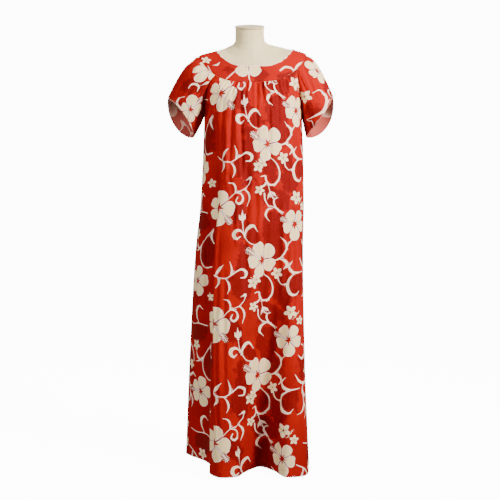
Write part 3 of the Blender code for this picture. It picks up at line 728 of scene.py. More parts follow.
# Creases pressed into the cloth, in millimetres. A negative depth is a ridge
Crease = namedtuple("Crease", "depth half_width points")
FRONT_CREASES = (
    Crease(4.8, 7, ((-69, 1320), (-74, 1144), (-80, 1012))),
    Crease(5.6, 8, ((-41, 1330), (-40, 1144), (-32, 946))),
    Crease(-3.1, 7, ((-56, 1260), (-57, 1078))),
    Crease(4.5, 6, ((13, 1330), (12, 1177), (19, 1078))),
    Crease(3.6, 5, ((33, 1330), (32, 1215))),
    Crease(5.0, 8, ((56, 1330), (55, 1127), (62, 1000))),
    Crease(3.6, 6, ((86, 1330), (86, 1150))),
    Crease(4.5, 7, ((116, 1320), (115, 1210), (121, 1070))),
    Crease(3.9, 7, ((-102, 1260), (-106, 1111), (-107, 985))),
    Crease(3.6, 6, ((-128, 1310), (-130, 1160))),
    Crease(-3.9, 8, ((-90, 1210), (-88, 946))),
    Crease(2.5, 7, ((-168, 1235), (-140, 1196), (-118, 1150))),
    Crease(2.5, 7, ((162, 1232), (136, 1190), (118, 1146))),
    Crease(7.7, 13, ((-21, 1078), (-15, 814), (-2, 583))),
    Crease(-4.8, 9, ((-51, 946), (-41, 748))),
    Crease(-6.2, 11, ((18, 1010), (28, 860), (30, 740))),
    Crease(7.0, 11, ((55, 1012), (62, 715), (62, 484))),
    Crease(-5.0, 11, ((101, 946), (119, 750), (124, 560))),
    Crease(5.6, 10, ((137, 930), (160, 700), (166, 484))),
    Crease(3.9, 10, ((-78, 715), (-75, 450), (-72, 253))),
    Crease(-3.9, 9, ((-96, 583), (-90, 350), (-88, 121))),
    Crease(6.4, 13, ((-24, 520), (-26, 253), (-8, -40))),
    Crease(-5.0, 13, ((28, 583), (26, 400), (27, 150))),
    Crease(7.3, 13, ((96, 600), (86, 253), (75, -40))),
    Crease(-5.9, 13, ((143, 470), (146, 250), (147, 20))),
    Crease(2.1, 5, ((69, 410), (90, 402), (114, 400))),
    Crease(1.8, 5, ((78, 380), (96, 378), (112, 383))),
    Crease(-4.5, 7, ((-158, 760), (-150, 600), (-150, 440))),
    Crease(3.6, 7, ((-178, 900), (-168, 700), (-166, 480))),
    Crease(2.2, 9, ((-112, 1030), (-80, 985), (-58, 900))),
    Crease(2.8, 9, ((150, 1100), (128, 1020), (120, 920))),
    Crease(13.0, 11, ((-126, 980), (-130, 700), (-128, 400), (-124, 0))),
    Crease(-6.0, 7, ((-108, 920), (-110, 650), (-106, 350), (-102, 30))),
)
BACK_CREASES = (
    Crease(3.9, 7, ((-125, 1260), (-128, 1130))),
    Crease(3.6, 7, ((-98, 1330), (-102, 1100), (-106, 980))),
    Crease(4.5, 8, ((-66, 1340), (-70, 1120), (-64, 950))),
    Crease(-3.1, 8, ((-50, 1250), (-48, 1020))),
    Crease(4.2, 6, ((-34, 1340), (-34, 1180))),
    Crease(5.0, 9, ((-6, 1340), (-10, 1100), (4, 860))),
    Crease(3.4, 6, ((18, 1340), (20, 1200))),
    Crease(4.2, 8, ((46, 1340), (50, 1120), (44, 980))),
    Crease(-3.1, 8, ((64, 1220), (66, 1000))),
    Crease(4.2, 7, ((82, 1340), (86, 1140))),
    Crease(3.6, 7, ((112, 1330), (116, 1100), (122, 990))),
    Crease(6.4, 13, ((-20, 950), (-26, 700), (-18, 450))),
    Crease(-4.5, 11, ((16, 860), (12, 600))),
    Crease(5.9, 12, ((66, 920), (78, 600), (72, 350))),
    Crease(-4.2, 12, ((102, 800), (110, 500))),
    Crease(5.3, 11, ((134, 900), (150, 550), (158, 220))),
    Crease(6.2, 13, ((-82, 860), (-92, 580), (-100, 300))),
    Crease(-4.8, 12, ((-56, 660), (-60, 360))),
    Crease(5.0, 11, ((-132, 900), (-150, 600), (-158, 280))),
    Crease(5.9, 14, ((10, 500), (6, 260), (16, -40))),
    Crease(-4.2, 13, ((44, 440), (40, 150))),
    Crease(5.3, 13, ((-120, 340), (-132, 150), (-136, -40))),
    Crease(2.5, 8, ((158, 1225), (128, 1160), (112, 1100))),
    Crease(2.5, 8, ((-160, 1215), (-136, 1150), (-120, 1060))),
)
# A sleeve's points are degrees round it from the top, and shares down it
PETAL_FRONT_CREASES = (
    Crease(2.6, 8, ((26, .02), (34, .45), (48, .95))),
    Crease(-2.0, 9, ((44, .10), (58, .60), (70, .98))),
    Crease(3.0, 8, ((62, -.05), (74, .40), (86, .80))),
    Crease(2.2, 7, ((96, .05), (100, .35), (98, .65))),
    Crease(-1.8, 9, ((112, .15), (114, .70))),
    Crease(2.8, 8, ((134, .12), (128, .50), (120, .90))),
    Crease(1.8, 7, ((158, .05), (150, .60))),
)
PETAL_BACK_CREASES = (
    Crease(2.2, 8, ((-22, .02), (-34, .50), (-44, .95))),
    Crease(-2.0, 10, ((-52, .15), (-62, .80))),
    Crease(2.8, 9, ((-74, -.05), (-84, .45), (-90, .90))),
    Crease(2.0, 8, ((-108, -.05), (-112, .50))),
    Crease(2.4, 8, ((-138, -.05), (-130, .60), (-124, .95))),
)
# Millimetres to a degree round a sleeve, and down it
ROUND_SLEEVE = 1.3
DOWN_SLEEVE = 160.0
# A crease's reach in half widths, the share of it that tapers, and the height of the
# cloth beside it
CREASE_REACH = 3
CREASE_TAPER = 0.22
CREASE_SHOULDER = 0.9
CREASE_STEPS = 8
# Where creases fade: shares down a sleeve, degrees round it, shares of a panel's
# width, and metres below the yoke
ARMHOLE_FADE = 0.12
OVERLAP_FADE = 14.0
SEAM_FADE = 0.030
YOKE_FADE = 0.016


def pressed(u, v, creases):
    """How far creases press the cloth in, in metres. Each fades at both ends, and the
    cloth beside a trough stands up a little."""
    shape = u.shape
    u, v = u.ravel() / MM, v.ravel() / MM
    total = np.zeros(u.size)
    for crease in creases:
        line = curve_through(np.array(crease.points, float), CREASE_STEPS, closed=False)
        starts = along(line)
        half = crease.half_width
        low, high = line.min(0) - CREASE_REACH * half, line.max(0) + CREASE_REACH * half
        near = np.flatnonzero((u > low[0]) & (u < high[0]) & (v > low[1]) & (v < high[1]))
        best = np.full(near.size, np.inf)
        place = np.zeros(near.size)
        for a, b, start in zip(line[:-1], line[1:], starts):
            t, off = nearest_place(u[near], v[near], a, b)
            closer = off < best
            best = np.where(closer, off, best)
            place = np.where(closer, start + t * math.dist(a, b), place)
        share = place / starts[-1]
        fade = ease(0, CREASE_TAPER, share) * ease(0, CREASE_TAPER, 1 - share)
        across = (best / half) ** 2
        profile = (1 - CREASE_SHOULDER * across) * np.exp(-across)
        total[near] += crease.depth * fade * profile
    return total.reshape(shape) * MM


def creased_panel(grid, u, v, creases):
    """A panel's grid with its creases, which fade at its side and yoke seams."""
    columns = np.linspace(0, 1, grid.shape[1])
    sides = ease(0, SEAM_FADE, columns) * ease(0, SEAM_FADE, 1 - columns)
    below_seam = np.linalg.norm(grid - grid[:1], axis=2)
    top = ease(0, YOKE_FADE, below_seam)
    depth = pressed(u, v, creases) * sides[None, :] * top
    return grid - grid_normals(grid) * depth[..., None]


def creased_petal(sleeve, front, grid, angle, down):
    """A petal's grid with its creases, which fade at the armhole. The front petal
    isn't pressed in where the back one lies under it."""
    creases = PETAL_FRONT_CREASES if front else PETAL_BACK_CREASES
    scaled = [
        crease._replace(points=[(a * ROUND_SLEEVE, d * DOWN_SLEEVE) for a, d in crease.points])
        for crease in creases
    ]
    depth = pressed(angle * ROUND_SLEEVE * MM, down * DOWN_SLEEVE * MM, scaled)
    depth = depth * ease(0, ARMHOLE_FADE, down)
    if front:
        clear = ease(0, OVERLAP_FADE, angle - petal_edges(sleeve, down)[1])
        depth = np.where(depth > 0, depth * clear, depth)
    return grid - grid_normals(grid) * depth[..., None]


# Turned hems and the neckline's facing: width, how much thicker they are, and how strong the
# painted highlight along a hem's fold is
SKIRT_HEM = 0.020
PETAL_HEM = 0.007
NECK_FACING = 0.006
HEM_RAISED = 0.0004
HEM_STEP = 0.002
HEM_FOLD_HIGHLIGHT = 0.25


def hemmed(grid, edge, width):
    """A grid whose cloth stands a little proud over a turned hem."""
    raised = HEM_RAISED * ease(width + HEM_STEP, width - HEM_STEP, edge)
    return grid + grid_normals(grid) * raised[..., None]


def edge_values(edge, along_edge, width, pale=HEM_FOLD_HIGHLIGHT):
    """A hem's values for the material, in millimetres, and how strong the painted highlight along
    its fold is.
    """
    return {
        "edge": edge / MM,
        "edge_along": np.broadcast_to(along_edge, edge.shape) / MM,
        "edge_stitch": np.full(edge.shape, width / MM),
        "edge_fold_highlight": np.full(edge.shape, pale),
    }


# Meshes of cloth: a fine outer face and an inner face of every second point
DIP_ALLOWED = 0.4
SHARP_EDGE = math.radians(50)


def quads(index):
    """Faces between the rows and columns of a grid of point numbers."""
    corners = (index[:-1, :-1], index[1:, :-1], index[1:, 1:], index[:-1, 1:])
    return np.stack(corners, axis=-1).reshape(-1, 4)


def new_object(name, points, faces, material):
    mesh = bpy.data.meshes.new(name)
    mesh.from_pydata(points, [], faces)
    mesh.shade_smooth()
    mesh.materials.append(material)
    made = bpy.data.objects.new(name, mesh)
    bpy.context.scene.collection.objects.link(made)
    return made


def shell_faces(rows, columns):
    """Faces of a closed thin shell over a grid with an even number of spans."""
    outer = np.arange((rows + 1) * (columns + 1)).reshape(rows + 1, columns + 1)
    inner_shape = (rows // 2 + 1, columns // 2 + 1)
    inner = outer.size + np.arange(inner_shape[0] * inner_shape[1]).reshape(inner_shape)
    faces = quads(outer).tolist() + quads(inner)[:, ::-1].tolist()
    rims = (
        (outer[0], inner[0]),
        (outer[:, -1], inner[:, -1]),
        (outer[-1, ::-1], inner[-1, ::-1]),
        (outer[::-1, 0], inner[::-1, 0]),
    )
    for fine, coarse in rims:
        fine, coarse = fine.tolist(), coarse.tolist()
        for k in range(len(coarse) - 1):
            faces.append((fine[2 * k], fine[2 * k + 1], coarse[k]))
            faces.append((fine[2 * k + 1], fine[2 * k + 2], coarse[k + 1], coarse[k]))
    return faces


def shell_points(values):
    """Outer values followed by every second one, in the order of shell_faces."""
    tail = values.shape[2:]
    return np.concatenate((values.reshape(-1, *tail), values[::2, ::2].reshape(-1, *tail)))


def inner_depth(grid, normals):
    """How deep the inner face lies. It goes deeper where the cloth dips between its
    wider rows and columns."""
    height, width = grid.shape[:2]
    around = np.pad(grid, ((1, 1), (1, 1), (0, 0)), mode="reflect", reflect_type="odd")
    dip = np.zeros((height + 2, width + 2))
    for i, j in ((0, 1), (1, 0), (1, 1), (1, -1)):
        ahead = around[1 + i : 1 + i + height, 1 + j : 1 + j + width]
        behind = around[1 - i : 1 - i + height, 1 - j : 1 - j + width]
        sag = (((ahead + behind) / 2 - grid) * normals).sum(-1)
        dip[1:-1, 1:-1] = np.maximum(dip[1:-1, 1:-1], sag)
    near = [dip[i : i + height, j : j + width] for i in range(3) for j in range(3)]
    return CLOTH + np.maximum(np.max(near, axis=0) - DIP_ALLOWED * CLOTH, 0)


def cloth_piece(name, grid, attributes, material):
    """A thin closed shell over a grid of its outer face, with its print's depths."""
    normals = grid_normals(grid)
    points = shell_points(grid)
    count = grid.shape[0] * grid.shape[1]
    points[count:] -= shell_points(normals * inner_depth(grid, normals)[..., None])[count:]
    faces = shell_faces(grid.shape[0] - 1, grid.shape[1] - 1)
    piece = new_object(name, points.tolist(), faces, material)
    piece.data.set_sharp_from_angle(angle=SHARP_EDGE)
    inside = np.zeros(len(points))
    inside[count:] = 1
    values = {key: shell_points(found) for key, found in attributes.items()}
    values["inside"] = inside
    for key, found in values.items():
        layer = piece.data.attributes.new(key, "FLOAT", "POINT")
        layer.data.foreach_set("value", found.astype(np.float32))
    return piece


# Sleeves
def sleeve_rim(sleeve, angle):
    """Points of the sleeve's rim: angle 0 is its top, 90 its front, 180 below."""
    top = np.array([sleeve.side * sleeve.top_x, 0, sleeve.top_z])
    under = np.array([sleeve.side * sleeve.under_x, 0, sleeve.under_z])
    centre, half = (top + under) / 2, (top - under) / 2
    outward = unit(np.array([-half[2], 0, half[0]]) * -sleeve.side)
    turn = np.radians(angle)[..., None]
    reach = np.where(angle > 0, sleeve.front_reach, sleeve.back_reach)[..., None]
    ahead = np.array([0, -sleeve.half_depth, 0]) * np.sin(turn)
    outward = outward * reach * np.abs(np.sin(turn)) ** RIM_FULLNESS
    return centre + half * np.cos(turn) + ahead + outward


def sleeve_surface(sleeve, angle, down):
    """Points of the sleeve, down from the armhole (0) to the rim (1)."""
    start = armhole_point(sleeve.side, angle / 180)
    rim = sleeve_rim(sleeve, angle)
    at_shoulder = (1 + np.cos(np.radians(angle))) / 2
    gap = SLEEVE_SEAM_GAP + (SHOULDER_SEAM_GAP - SLEEVE_SEAM_GAP) * at_shoulder**2
    start = start + gap[..., None] * unit(rim - start)
    ends = np.array([0.0, 1.0])
    armhole_ends = armhole_point(sleeve.side, ends).sum(0)
    rim_ends = sleeve_rim(sleeve, 180 * ends).sum(0)
    out = unit((start + rim) - (armhole_ends + rim_ends) / 2)
    puff = (sleeve.puff * (PUFF_UNDERARM + (1 - PUFF_UNDERARM) * at_shoulder))[..., None]
    middle = start + (rim - start) * PUFF_PLACE + 2 * puff * out
    down = down[..., None]
    return (1 - down) ** 2 * start + 2 * down * (1 - down) * middle + down**2 * rim


def petal_edges(sleeve, down):
    """Angles of the front and the back petal's free edge."""
    front_edge = smooth(EDGE_PLACES, PETAL_EDGES[sleeve.side], down)
    overlap = PETAL_OVERLAP[0] + (PETAL_OVERLAP[1] - PETAL_OVERLAP[0]) * down
    return front_edge, front_edge + overlap


def petal_grid(sleeve, front):
    """Points of one petal's outer face, with their angles and shares down it."""
    down = np.linspace(0, 1, PETAL_ROWS + 1)[:, None]
    front_edge, back_edge = petal_edges(sleeve, down)
    edge = front_edge if front else back_edge
    seam = 180 - UNDERARM_SEAM_DEGREES if front else -180 + UNDERARM_SEAM_DEGREES
    share = np.linspace(0, 1, PETAL_COLUMNS + 1)[None, :]
    angle = edge + (seam - edge) * share
    corner = PETAL_CORNER * np.exp(-np.abs(angle - edge) / PETAL_CORNER_WIDTH)
    place = np.broadcast_to(down, angle.shape) * (1 - corner)
    grid = sleeve_surface(sleeve, angle, place)
    if front:
        fade = PETAL_LAYER_FADE
        past = np.clip((angle - back_edge - fade[0]) / (fade[1] - fade[0]), 0, 1)
        round_it = sleeve_surface(sleeve, angle + 1, place) - grid
        down_it = sleeve_surface(sleeve, angle, place + 0.01) - grid
        out = unit(np.cross(round_it, down_it)) * sleeve.side
        grid = grid + out * (PETAL_LAYER * (1 - past))[..., None]
    down = np.broadcast_to(down, angle.shape)
    if (sleeve.side > 0) == front:
        grid, angle, down = grid[:, ::-1], angle[:, ::-1], down[:, ::-1]
    return grid, angle, down


def petal_places(grid, sleeve, front):
    """Cloth places of a petal: along the sleeve's axis and round it, turned so that
    the print stands upright as seen from the petal's own side."""
    armhole = armhole_point(sleeve.side, np.array([0.0, 1.0])).mean(0)
    rim = sleeve_rim(sleeve, np.array([0.0, 180.0])).mean(0)
    axis = unit(rim - armhole)
    length = (grid - armhole) @ axis
    flat = grid - length[..., None] * axis
    round_it = along(flat, 1)
    facing = flat[..., 1] if front else -flat[..., 1]
    middle = np.argmin(facing, axis=1)
    round_it = round_it - round_it[np.arange(len(grid)), middle][:, None]
    right = 1 if front else -1
    axis_2d = np.array([axis[0] * right, axis[2]])
    axis_2d /= np.linalg.norm(axis_2d)
    way = grid[len(grid) // 2, -1] - grid[len(grid) // 2, 0]
    across = np.array([-axis_2d[1], axis_2d[0]])
    if (way[0] * right * across[0] + way[2] * across[1]) < 0:
        across = -across
    origin = flat[len(grid) // 2, middle[len(grid) // 2]]
    u = origin[0] * right + length * axis_2d[0] + round_it * across[0]
    v = origin[2] + length * axis_2d[1] + round_it * across[1]
    return u, v


# Materials
class Look:
    """A material with its nodes, laid out by the object's own coordinates."""

    def __init__(self, name):
        self.material = bpy.data.materials.new(name)
        self.material.use_nodes = True
        self.tree = self.material.node_tree
        self.shader = self.tree.nodes["Principled BSDF"]
        self.place = self.node("ShaderNodeTexCoord").outputs["Object"]

    def feed(self, socket, value):
        """Links a socket to a value, or sets it to a number or a colour."""
        if isinstance(value, Value):
            value = value.socket
        if isinstance(value, bpy.types.NodeSocket):
            self.tree.links.new(value, socket)
        else:
            socket.default_value = (*value, 1.0) if isinstance(value, tuple) else value

    def node(self, kind, inputs=None, **settings):
        made = self.tree.nodes.new(kind)
        for key, value in settings.items():
            setattr(made, key, value)
        for key, value in (inputs or {}).items():
            self.feed(made.inputs[key], value)
        return made

    def set(self, inputs):
        """Sets or links the shader's own sockets."""
        for key, value in inputs.items():
            self.feed(self.shader.inputs[key], value)

    def read(self, name):
        """One of the cloth's values."""
        found = self.node(
            "ShaderNodeAttribute", attribute_type="GEOMETRY", attribute_name=name
        )
        return Value(self, found.outputs["Fac"])

    def grain(self, scale, detail=2.0, roughness=0.5, place=None):
        place = self.place if place is None else place
        inputs = {"Vector": place, "Scale": scale, "Detail": detail, "Roughness": roughness}
        return Value(self, self.node("ShaderNodeTexNoise", inputs).outputs["Fac"])

    def patches(self, kind):
        grain = self.grain(kind.scale, kind.detail, kind.roughness)
        return grain.ramp(kind.low, kind.high) * kind.strength

    def paint(self, mask, below, colour):
        """A colour laid over another where the mask is 1."""
        made = self.node("ShaderNodeMix", data_type="RGBA")
        for key, value in {"Factor": mask, "A": below, "B": colour}.items():
            self.feed(next(s for s in made.inputs if s.name == key and s.enabled), value)
        return next(s for s in made.outputs if s.enabled)

    def bump(self, height, strength, distance):
        inputs = {"Height": height, "Strength": strength, "Distance": distance}
        self.set({"Normal": self.node("ShaderNodeBump", inputs).outputs["Normal"]})


class Value:
    """A number in a look's shader, so that its nodes can be written as plain sums."""

    def __init__(self, look, socket):
        self.look, self.socket = look, socket

    def do(self, operation, *others):
        inputs = dict(enumerate((self, *others)))
        made = self.look.node("ShaderNodeMath", inputs, operation=operation)
        return Value(self.look, made.outputs[0])

    def __add__(self, other):
        return self.do("ADD", other)

    def __sub__(self, other):
        return self.do("SUBTRACT", other)

    def __rsub__(self, other):
        return self.do("MULTIPLY", -1.0) + other

    def __mul__(self, other):
        return self.do("MULTIPLY", other)

    def __truediv__(self, other):
        return self.do("DIVIDE", other)

    def __pow__(self, other):
        return self.do("POWER", other)

    def least(self, other):
        return self.do("MINIMUM", other)

    def most(self, other):
        return self.do("MAXIMUM", other)

    def size(self):
        return self.do("ABSOLUTE")

    def share(self):
        """The part after the decimal point."""
        return self.do("FRACT")

    def ramp(self, low, high):
        """0 below low, 1 above high."""
        inputs = {"Value": self, "From Min": low, "From Max": high}
        made = self.look.node("ShaderNodeMapRange", inputs, clamp=True)
        return Value(self.look, made.outputs["Result"])


# The hibiscus, drawn on five even petals. Lengths here are in millimetres, and
# pairs are the two ends of a ramp
HALF_SECTOR = math.pi / 5
EDGE_SOFTNESS = 0.30
FLOWER_END = (78.0, 77.0)
PETAL_GAP = 1.6
PETAL_GAP_TIP = 0.5
PETAL_LINE_END = 0.98
PETAL_ROUNDNESS = 3.2
PETAL_CLEFT = 0.30
PETAL_WAVE = 0.11
PETAL_WAVE_SCALE = 0.085
VEIN_SCALE = 0.30
VEIN_PATCH = (0.40, 0.62)
VEIN_COUNT = 9.0
VEIN_BAND = (0.55, 0.95)
VEIN_STRENGTH = 0.40
PETAL_RIM = (2.4, 4.0)
STAR_CORE = 0.085
STAR_REACH = 0.25
ROD_HALF = 1.6
ROD_START = 6.0
ROD_END = 72.0
STAMEN_EDGE = 1.2
ANTHER_MIDDLE = 58.0
ANTHER_REACH = 19.0
ANTHER_SPREAD = 10.5
ANTHER_PITCH = 6.4
ANTHER_RADIUS = 1.55
ANTHER_ROWS = ((0.5, 3.8), (0.0, 7.8))
BRUSH_STRENGTH = 0.8

# The blossom and the vine
BLOSSOM_END = (33.0, 32.0)
BLOSSOM_NOTCH = 0.46
BLOSSOM_POINT = 1.35
BLOSSOM_RIM = (1.4, 3.4)
BLOSSOM_LINE_HALF = 0.5
BLOSSOM_LINE_END = 8.5
BLOSSOM_EYE = 2.1
VINE_TAPER = (3.8, 1.8)
VINE_END = (3.8, 3.4)
VINE_RIM = (1.8, 3.6)

# Patches are a noise, the two ends of its ramp and their strength
Patches = namedtuple("Patches", "scale detail roughness low high strength")
STIPPLE = Patches(330.0, 3.0, 0.65, 0.40, 0.60, 1.0)
FLECK = Patches(300.0, 2.0, 0.5, 0.62, 0.70, 0.45)
MOTTLE = Patches(7.0, 4.0, 0.55, 0.42, 0.64, 1.0)
# Noises that break up the dark fields' edge: scale, detail, roughness and reach
RAGGED = ((150.0, 3.0, 0.6, 34.0), (38.0, 2.0, 0.5, 48.0))
FIELD_EDGE = (-1.5, 2.5)
FIELD_STRENGTH = 0.85
FIELD_THROUGH = 0.7
MOTIF_SHADE = (-2.2, -0.6)
MOTIF_SHADE_STRENGTH = 0.55
MOTIF_THROUGH = 0.75

# Turned edges, with a painted highlight along their fold
RIPPLE_SCALE = 60.0
RIPPLE = 9.0
FOLD_HIGHLIGHT_BAND = (4.0, 2.4)
STITCH_PITCH = 3.4
STITCH_HALF = 0.35
STITCH_DASH = (0.36, 0.30)
GROOVE_BAND = (1.4, 0.2)
GROOVE_DEPTH = 1.6

GROUND = (0.37, 0.0032, 0.0003)
DEEP_GROUND = (0.275, 0.0021, 0.0004)
CRIMSON = (0.215, 0.0030, 0.0026)
MAROON = (0.110, 0.0016, 0.0022)
OUTLINE = (0.130, 0.0014, 0.0014)
PALE_EDGE = (1.00, 0.74, 0.60)
CREAM = (0.91, 0.68, 0.35)
VEIN = (0.74, 0.55, 0.32)
LINE_RED = (0.125, 0.0030, 0.0030)
STAR_RED = (0.34, 0.0050, 0.0020)
REVERSE_RED = (0.42, 0.075, 0.055)
REVERSE_DARK = (0.28, 0.036, 0.030)
REVERSE_PALE = (0.74, 0.46, 0.35)
STITCH = (0.36, 0.016, 0.008)
WEAVE_SCALE = 420.0
SLUB_SCALE = 130.0
REVERSE_BAND = (0.4, 0.6)
# A bump's strength, and its height in metres
COTTON_BUMP = (0.14, 0.0006)
LINEN_BUMP = (0.25, 0.0006)
METAL_BUMP = (0.15, 0.0003)


def ink(depth):
    """How much of a motif covers a place at this depth inside it."""
    return depth.ramp(-EDGE_SOFTNESS, EDGE_SOFTNESS)


def sectors(x, y):
    """Distance from the middle, the way aside in one of five petals, 0 on its axis
    and 1 between petals, and the distance from the line between petals."""
    radius = (x * x + y * y).do("SQRT")
    turn = y.do("ARCTAN2", x) * (5 / (2 * math.pi))
    aside = (turn.share() * 2.0 - 1.0).size()
    return radius, aside, radius * (1.0 - aside) * HALF_SECTOR


def stamen_depth(x, y):
    """How deep a place lies in the tuft of anthers, and in the stamen with them."""
    off_rod = y.size()
    rod = (ROD_HALF - off_rod).least(x - ROD_START).least(ROD_END - x)
    dots = []
    for phase, out in ANTHER_ROWS:
        along_it = ((x / ANTHER_PITCH + phase).share() - 0.5) * ANTHER_PITCH
        from_row = off_rod - out
        dots.append(ANTHER_RADIUS - (along_it * along_it + from_row * from_row).do("SQRT"))
    tuft_x, tuft_y = (x - ANTHER_MIDDLE) / ANTHER_REACH, y / ANTHER_SPREAD
    tuft = (1.0 - tuft_x * tuft_x - tuft_y * tuft_y) * ANTHER_SPREAD
    return tuft, rod.most(dots[0].most(dots[1]).least(tuft))


def hibiscus_paint(look):
    """How deep a place lies in the petals, their mask, and the flower's layers."""
    x, y = look.read("flower_x"), look.read("flower_y")
    own = look.node("ShaderNodeCombineXYZ", {"X": x, "Y": y}).outputs[0]
    radius, aside, beside = sectors(x, y)
    here = look.read("flower_far").ramp(*FLOWER_END)
    wave = (look.grain(PETAL_WAVE_SCALE, 1.0, place=own) - 0.5) * PETAL_WAVE + 1.0
    lobe = ((1.0 - aside**PETAL_ROUNDNESS).most(0.0) ** 0.5) * (1 - PETAL_CLEFT) + PETAL_CLEFT
    rim = lobe * wave * PETAL_NOMINAL
    gap = (1.0 - radius / PETAL_NOMINAL) * PETAL_GAP + PETAL_GAP_TIP
    depth = (rim - radius).least(beside - gap)
    petals = ink(depth) * here
    between = ink((gap - beside).least(rim * PETAL_LINE_END - radius)) * here
    stripes = (aside * VEIN_COUNT).share().ramp(*VEIN_BAND)
    vein = look.grain(VEIN_SCALE, place=own).ramp(*VEIN_PATCH) * stripes
    spoke = ((1.0 - aside).most(0.0) ** 2.0) * STAR_REACH + STAR_CORE
    star = ink(spoke * PETAL_NOMINAL - radius) * here
    tuft, stamen = stamen_depth(x, y)
    inner = look.paint(vein * VEIN_STRENGTH, CREAM, VEIN)
    layers = [
        (petals, look.paint(depth.ramp(*PETAL_RIM), PALE_EDGE, inner)),
        (between, LINE_RED),
        (star, STAR_RED),
        (ink(tuft + STAMEN_EDGE) * here * BRUSH_STRENGTH, STAR_RED),
        (ink(stamen + STAMEN_EDGE) * here, LINE_RED),
        (ink(stamen) * here, PALE_EDGE),
    ]
    return depth - (1.0 - here) * FAR, petals, layers


def blossom_paint(look):
    """How deep a place lies in a blossom, its mask, and its layers."""
    radius, aside, beside = sectors(look.read("blossom_x"), look.read("blossom_y"))
    here = look.read("blossom_far").ramp(*BLOSSOM_END)
    rim = 1.0 - (aside**BLOSSOM_POINT) * (1 - BLOSSOM_NOTCH)
    depth = rim * BLOSSOM_NOMINAL - radius
    lines = (BLOSSOM_LINE_HALF - beside).least(BLOSSOM_LINE_END - radius)
    blossoms = ink(depth) * here
    layers = [
        (blossoms, look.paint(depth.ramp(*BLOSSOM_RIM), PALE_EDGE, CREAM)),
        (ink(lines.most(BLOSSOM_EYE - radius)) * here, LINE_RED),
    ]
    return depth - (1.0 - here) * FAR, blossoms, layers


def vine_paint(look):
    """The vines' mask and layer."""
    far = look.read("vine_far")
    depth = look.read("vine_half") * far.ramp(*VINE_TAPER) - look.read("vine_side").size()
    vines = ink(depth) * far.ramp(*VINE_END)
    return vines, [(vines, look.paint(depth.ramp(*VINE_RIM), PALE_EDGE, CREAM))]


def ground_paint(look):
    """The red ground's colour, and the mask of its stippled dark fields."""
    ragged = look.read("dark")
    for scale, detail, roughness, reach in RAGGED:
        ragged = ragged + (look.grain(scale, detail, roughness) - 0.5) * reach
    dark = ragged.ramp(*FIELD_EDGE)
    ground = look.paint(look.patches(MOTTLE), GROUND, DEEP_GROUND)
    ground = look.paint(look.patches(FLECK), ground, CRIMSON)
    stippled = look.paint(look.patches(STIPPLE), CRIMSON, MAROON)
    return look.paint(dark * FIELD_STRENGTH, ground, stippled), dark


def printed_cotton():
    """Printed cotton: pale motifs with bright rims on red, a paler reverse, and turned
    edges with a painted highlight along their fold, over a row of stitches."""
    look = Look("printed_cotton_look")
    colour, dark = ground_paint(look)
    petal_depth, petals, petal_layers = hibiscus_paint(look)
    blossom_depth, blossoms, blossom_layers = blossom_paint(look)
    vines, vine_layers = vine_paint(look)
    shade = petal_depth.most(blossom_depth).ramp(*MOTIF_SHADE) * MOTIF_SHADE_STRENGTH
    for mask, tint in [(shade, OUTLINE), *vine_layers, *blossom_layers, *petal_layers]:
        colour = look.paint(mask, colour, tint)
    pale = petals.most(blossoms).most(vines) * MOTIF_THROUGH
    reverse = look.paint(dark * FIELD_THROUGH, REVERSE_RED, REVERSE_DARK)
    reverse = look.paint(pale, reverse, REVERSE_PALE)
    inside = look.read("inside")
    colour = look.paint(inside.ramp(*REVERSE_BAND), colour, reverse)

    edge = look.read("edge")
    ripple = (look.grain(RIPPLE_SCALE, 1.0) - 0.5) * RIPPLE
    # Painted highlight along a turned edge's fold; at the neckline it also stands for the paler
    # reverse rolled into view
    fold = (edge + ripple).ramp(*FOLD_HIGHLIGHT_BAND) * (1.0 - inside) * look.read("edge_fold_highlight")
    colour = look.paint(fold, colour, PALE_EDGE)
    off_stitches = (edge - look.read("edge_stitch")).size()
    dash = (look.read("edge_along") / STITCH_PITCH).share() - 0.5
    thread = ink(STITCH_HALF - off_stitches) * dash.size().ramp(*STITCH_DASH)
    colour = look.paint(thread, colour, STITCH)

    look.set({
        "Base Color": colour,
        "Roughness": look.grain(60.0) * 0.14 + 0.74,
        "Specular IOR Level": 0.10,
    })
    height = look.grain(SLUB_SCALE, 3.0) * 2.0
    for way in ("X", "Z"):
        inputs = {"Vector": look.place, "Scale": WEAVE_SCALE, "Distortion": 0.6}
        threads = look.node("ShaderNodeTexWave", inputs, bands_direction=way)
        height = height + Value(look, threads.outputs["Fac"])
    height = height - off_stitches.ramp(*GROOVE_BAND) * GROOVE_DEPTH
    look.bump(height, *COTTON_BUMP)
    return look.material


FORM_LIGHT, FORM_SHADE = (0.80, 0.66, 0.38), (0.71, 0.57, 0.31)
CAP_LIGHT, CAP_SHADE = (0.68, 0.56, 0.35), (0.58, 0.47, 0.28)
METAL_DARK, METAL_WORN = (0.045, 0.045, 0.048), (0.085, 0.083, 0.080)
# The linen's seams: each one's place in x at its top, and its lean
LINEN_SEAMS = ((0.004, 0.0), (-0.071, 0.22), (0.079, -0.22))
LEAN_START = 1.30
LINEN_SEAM_BAND = (0.0016, 0.0005)
LINEN_SEAM_DARKNESS = 0.62
LINEN_THREAD_SCALE = 700.0
LINEN_THREAD_BAND = (0.45, 0.75)
LINEN_CLOUD = Patches(14.0, 4.0, 0.5, 0.35, 0.70, 1.0)
METAL_WEAR = Patches(30.0, 4.0, 0.5, 0.55, 0.75, 1.0)
METAL_GRAIN = 900.0


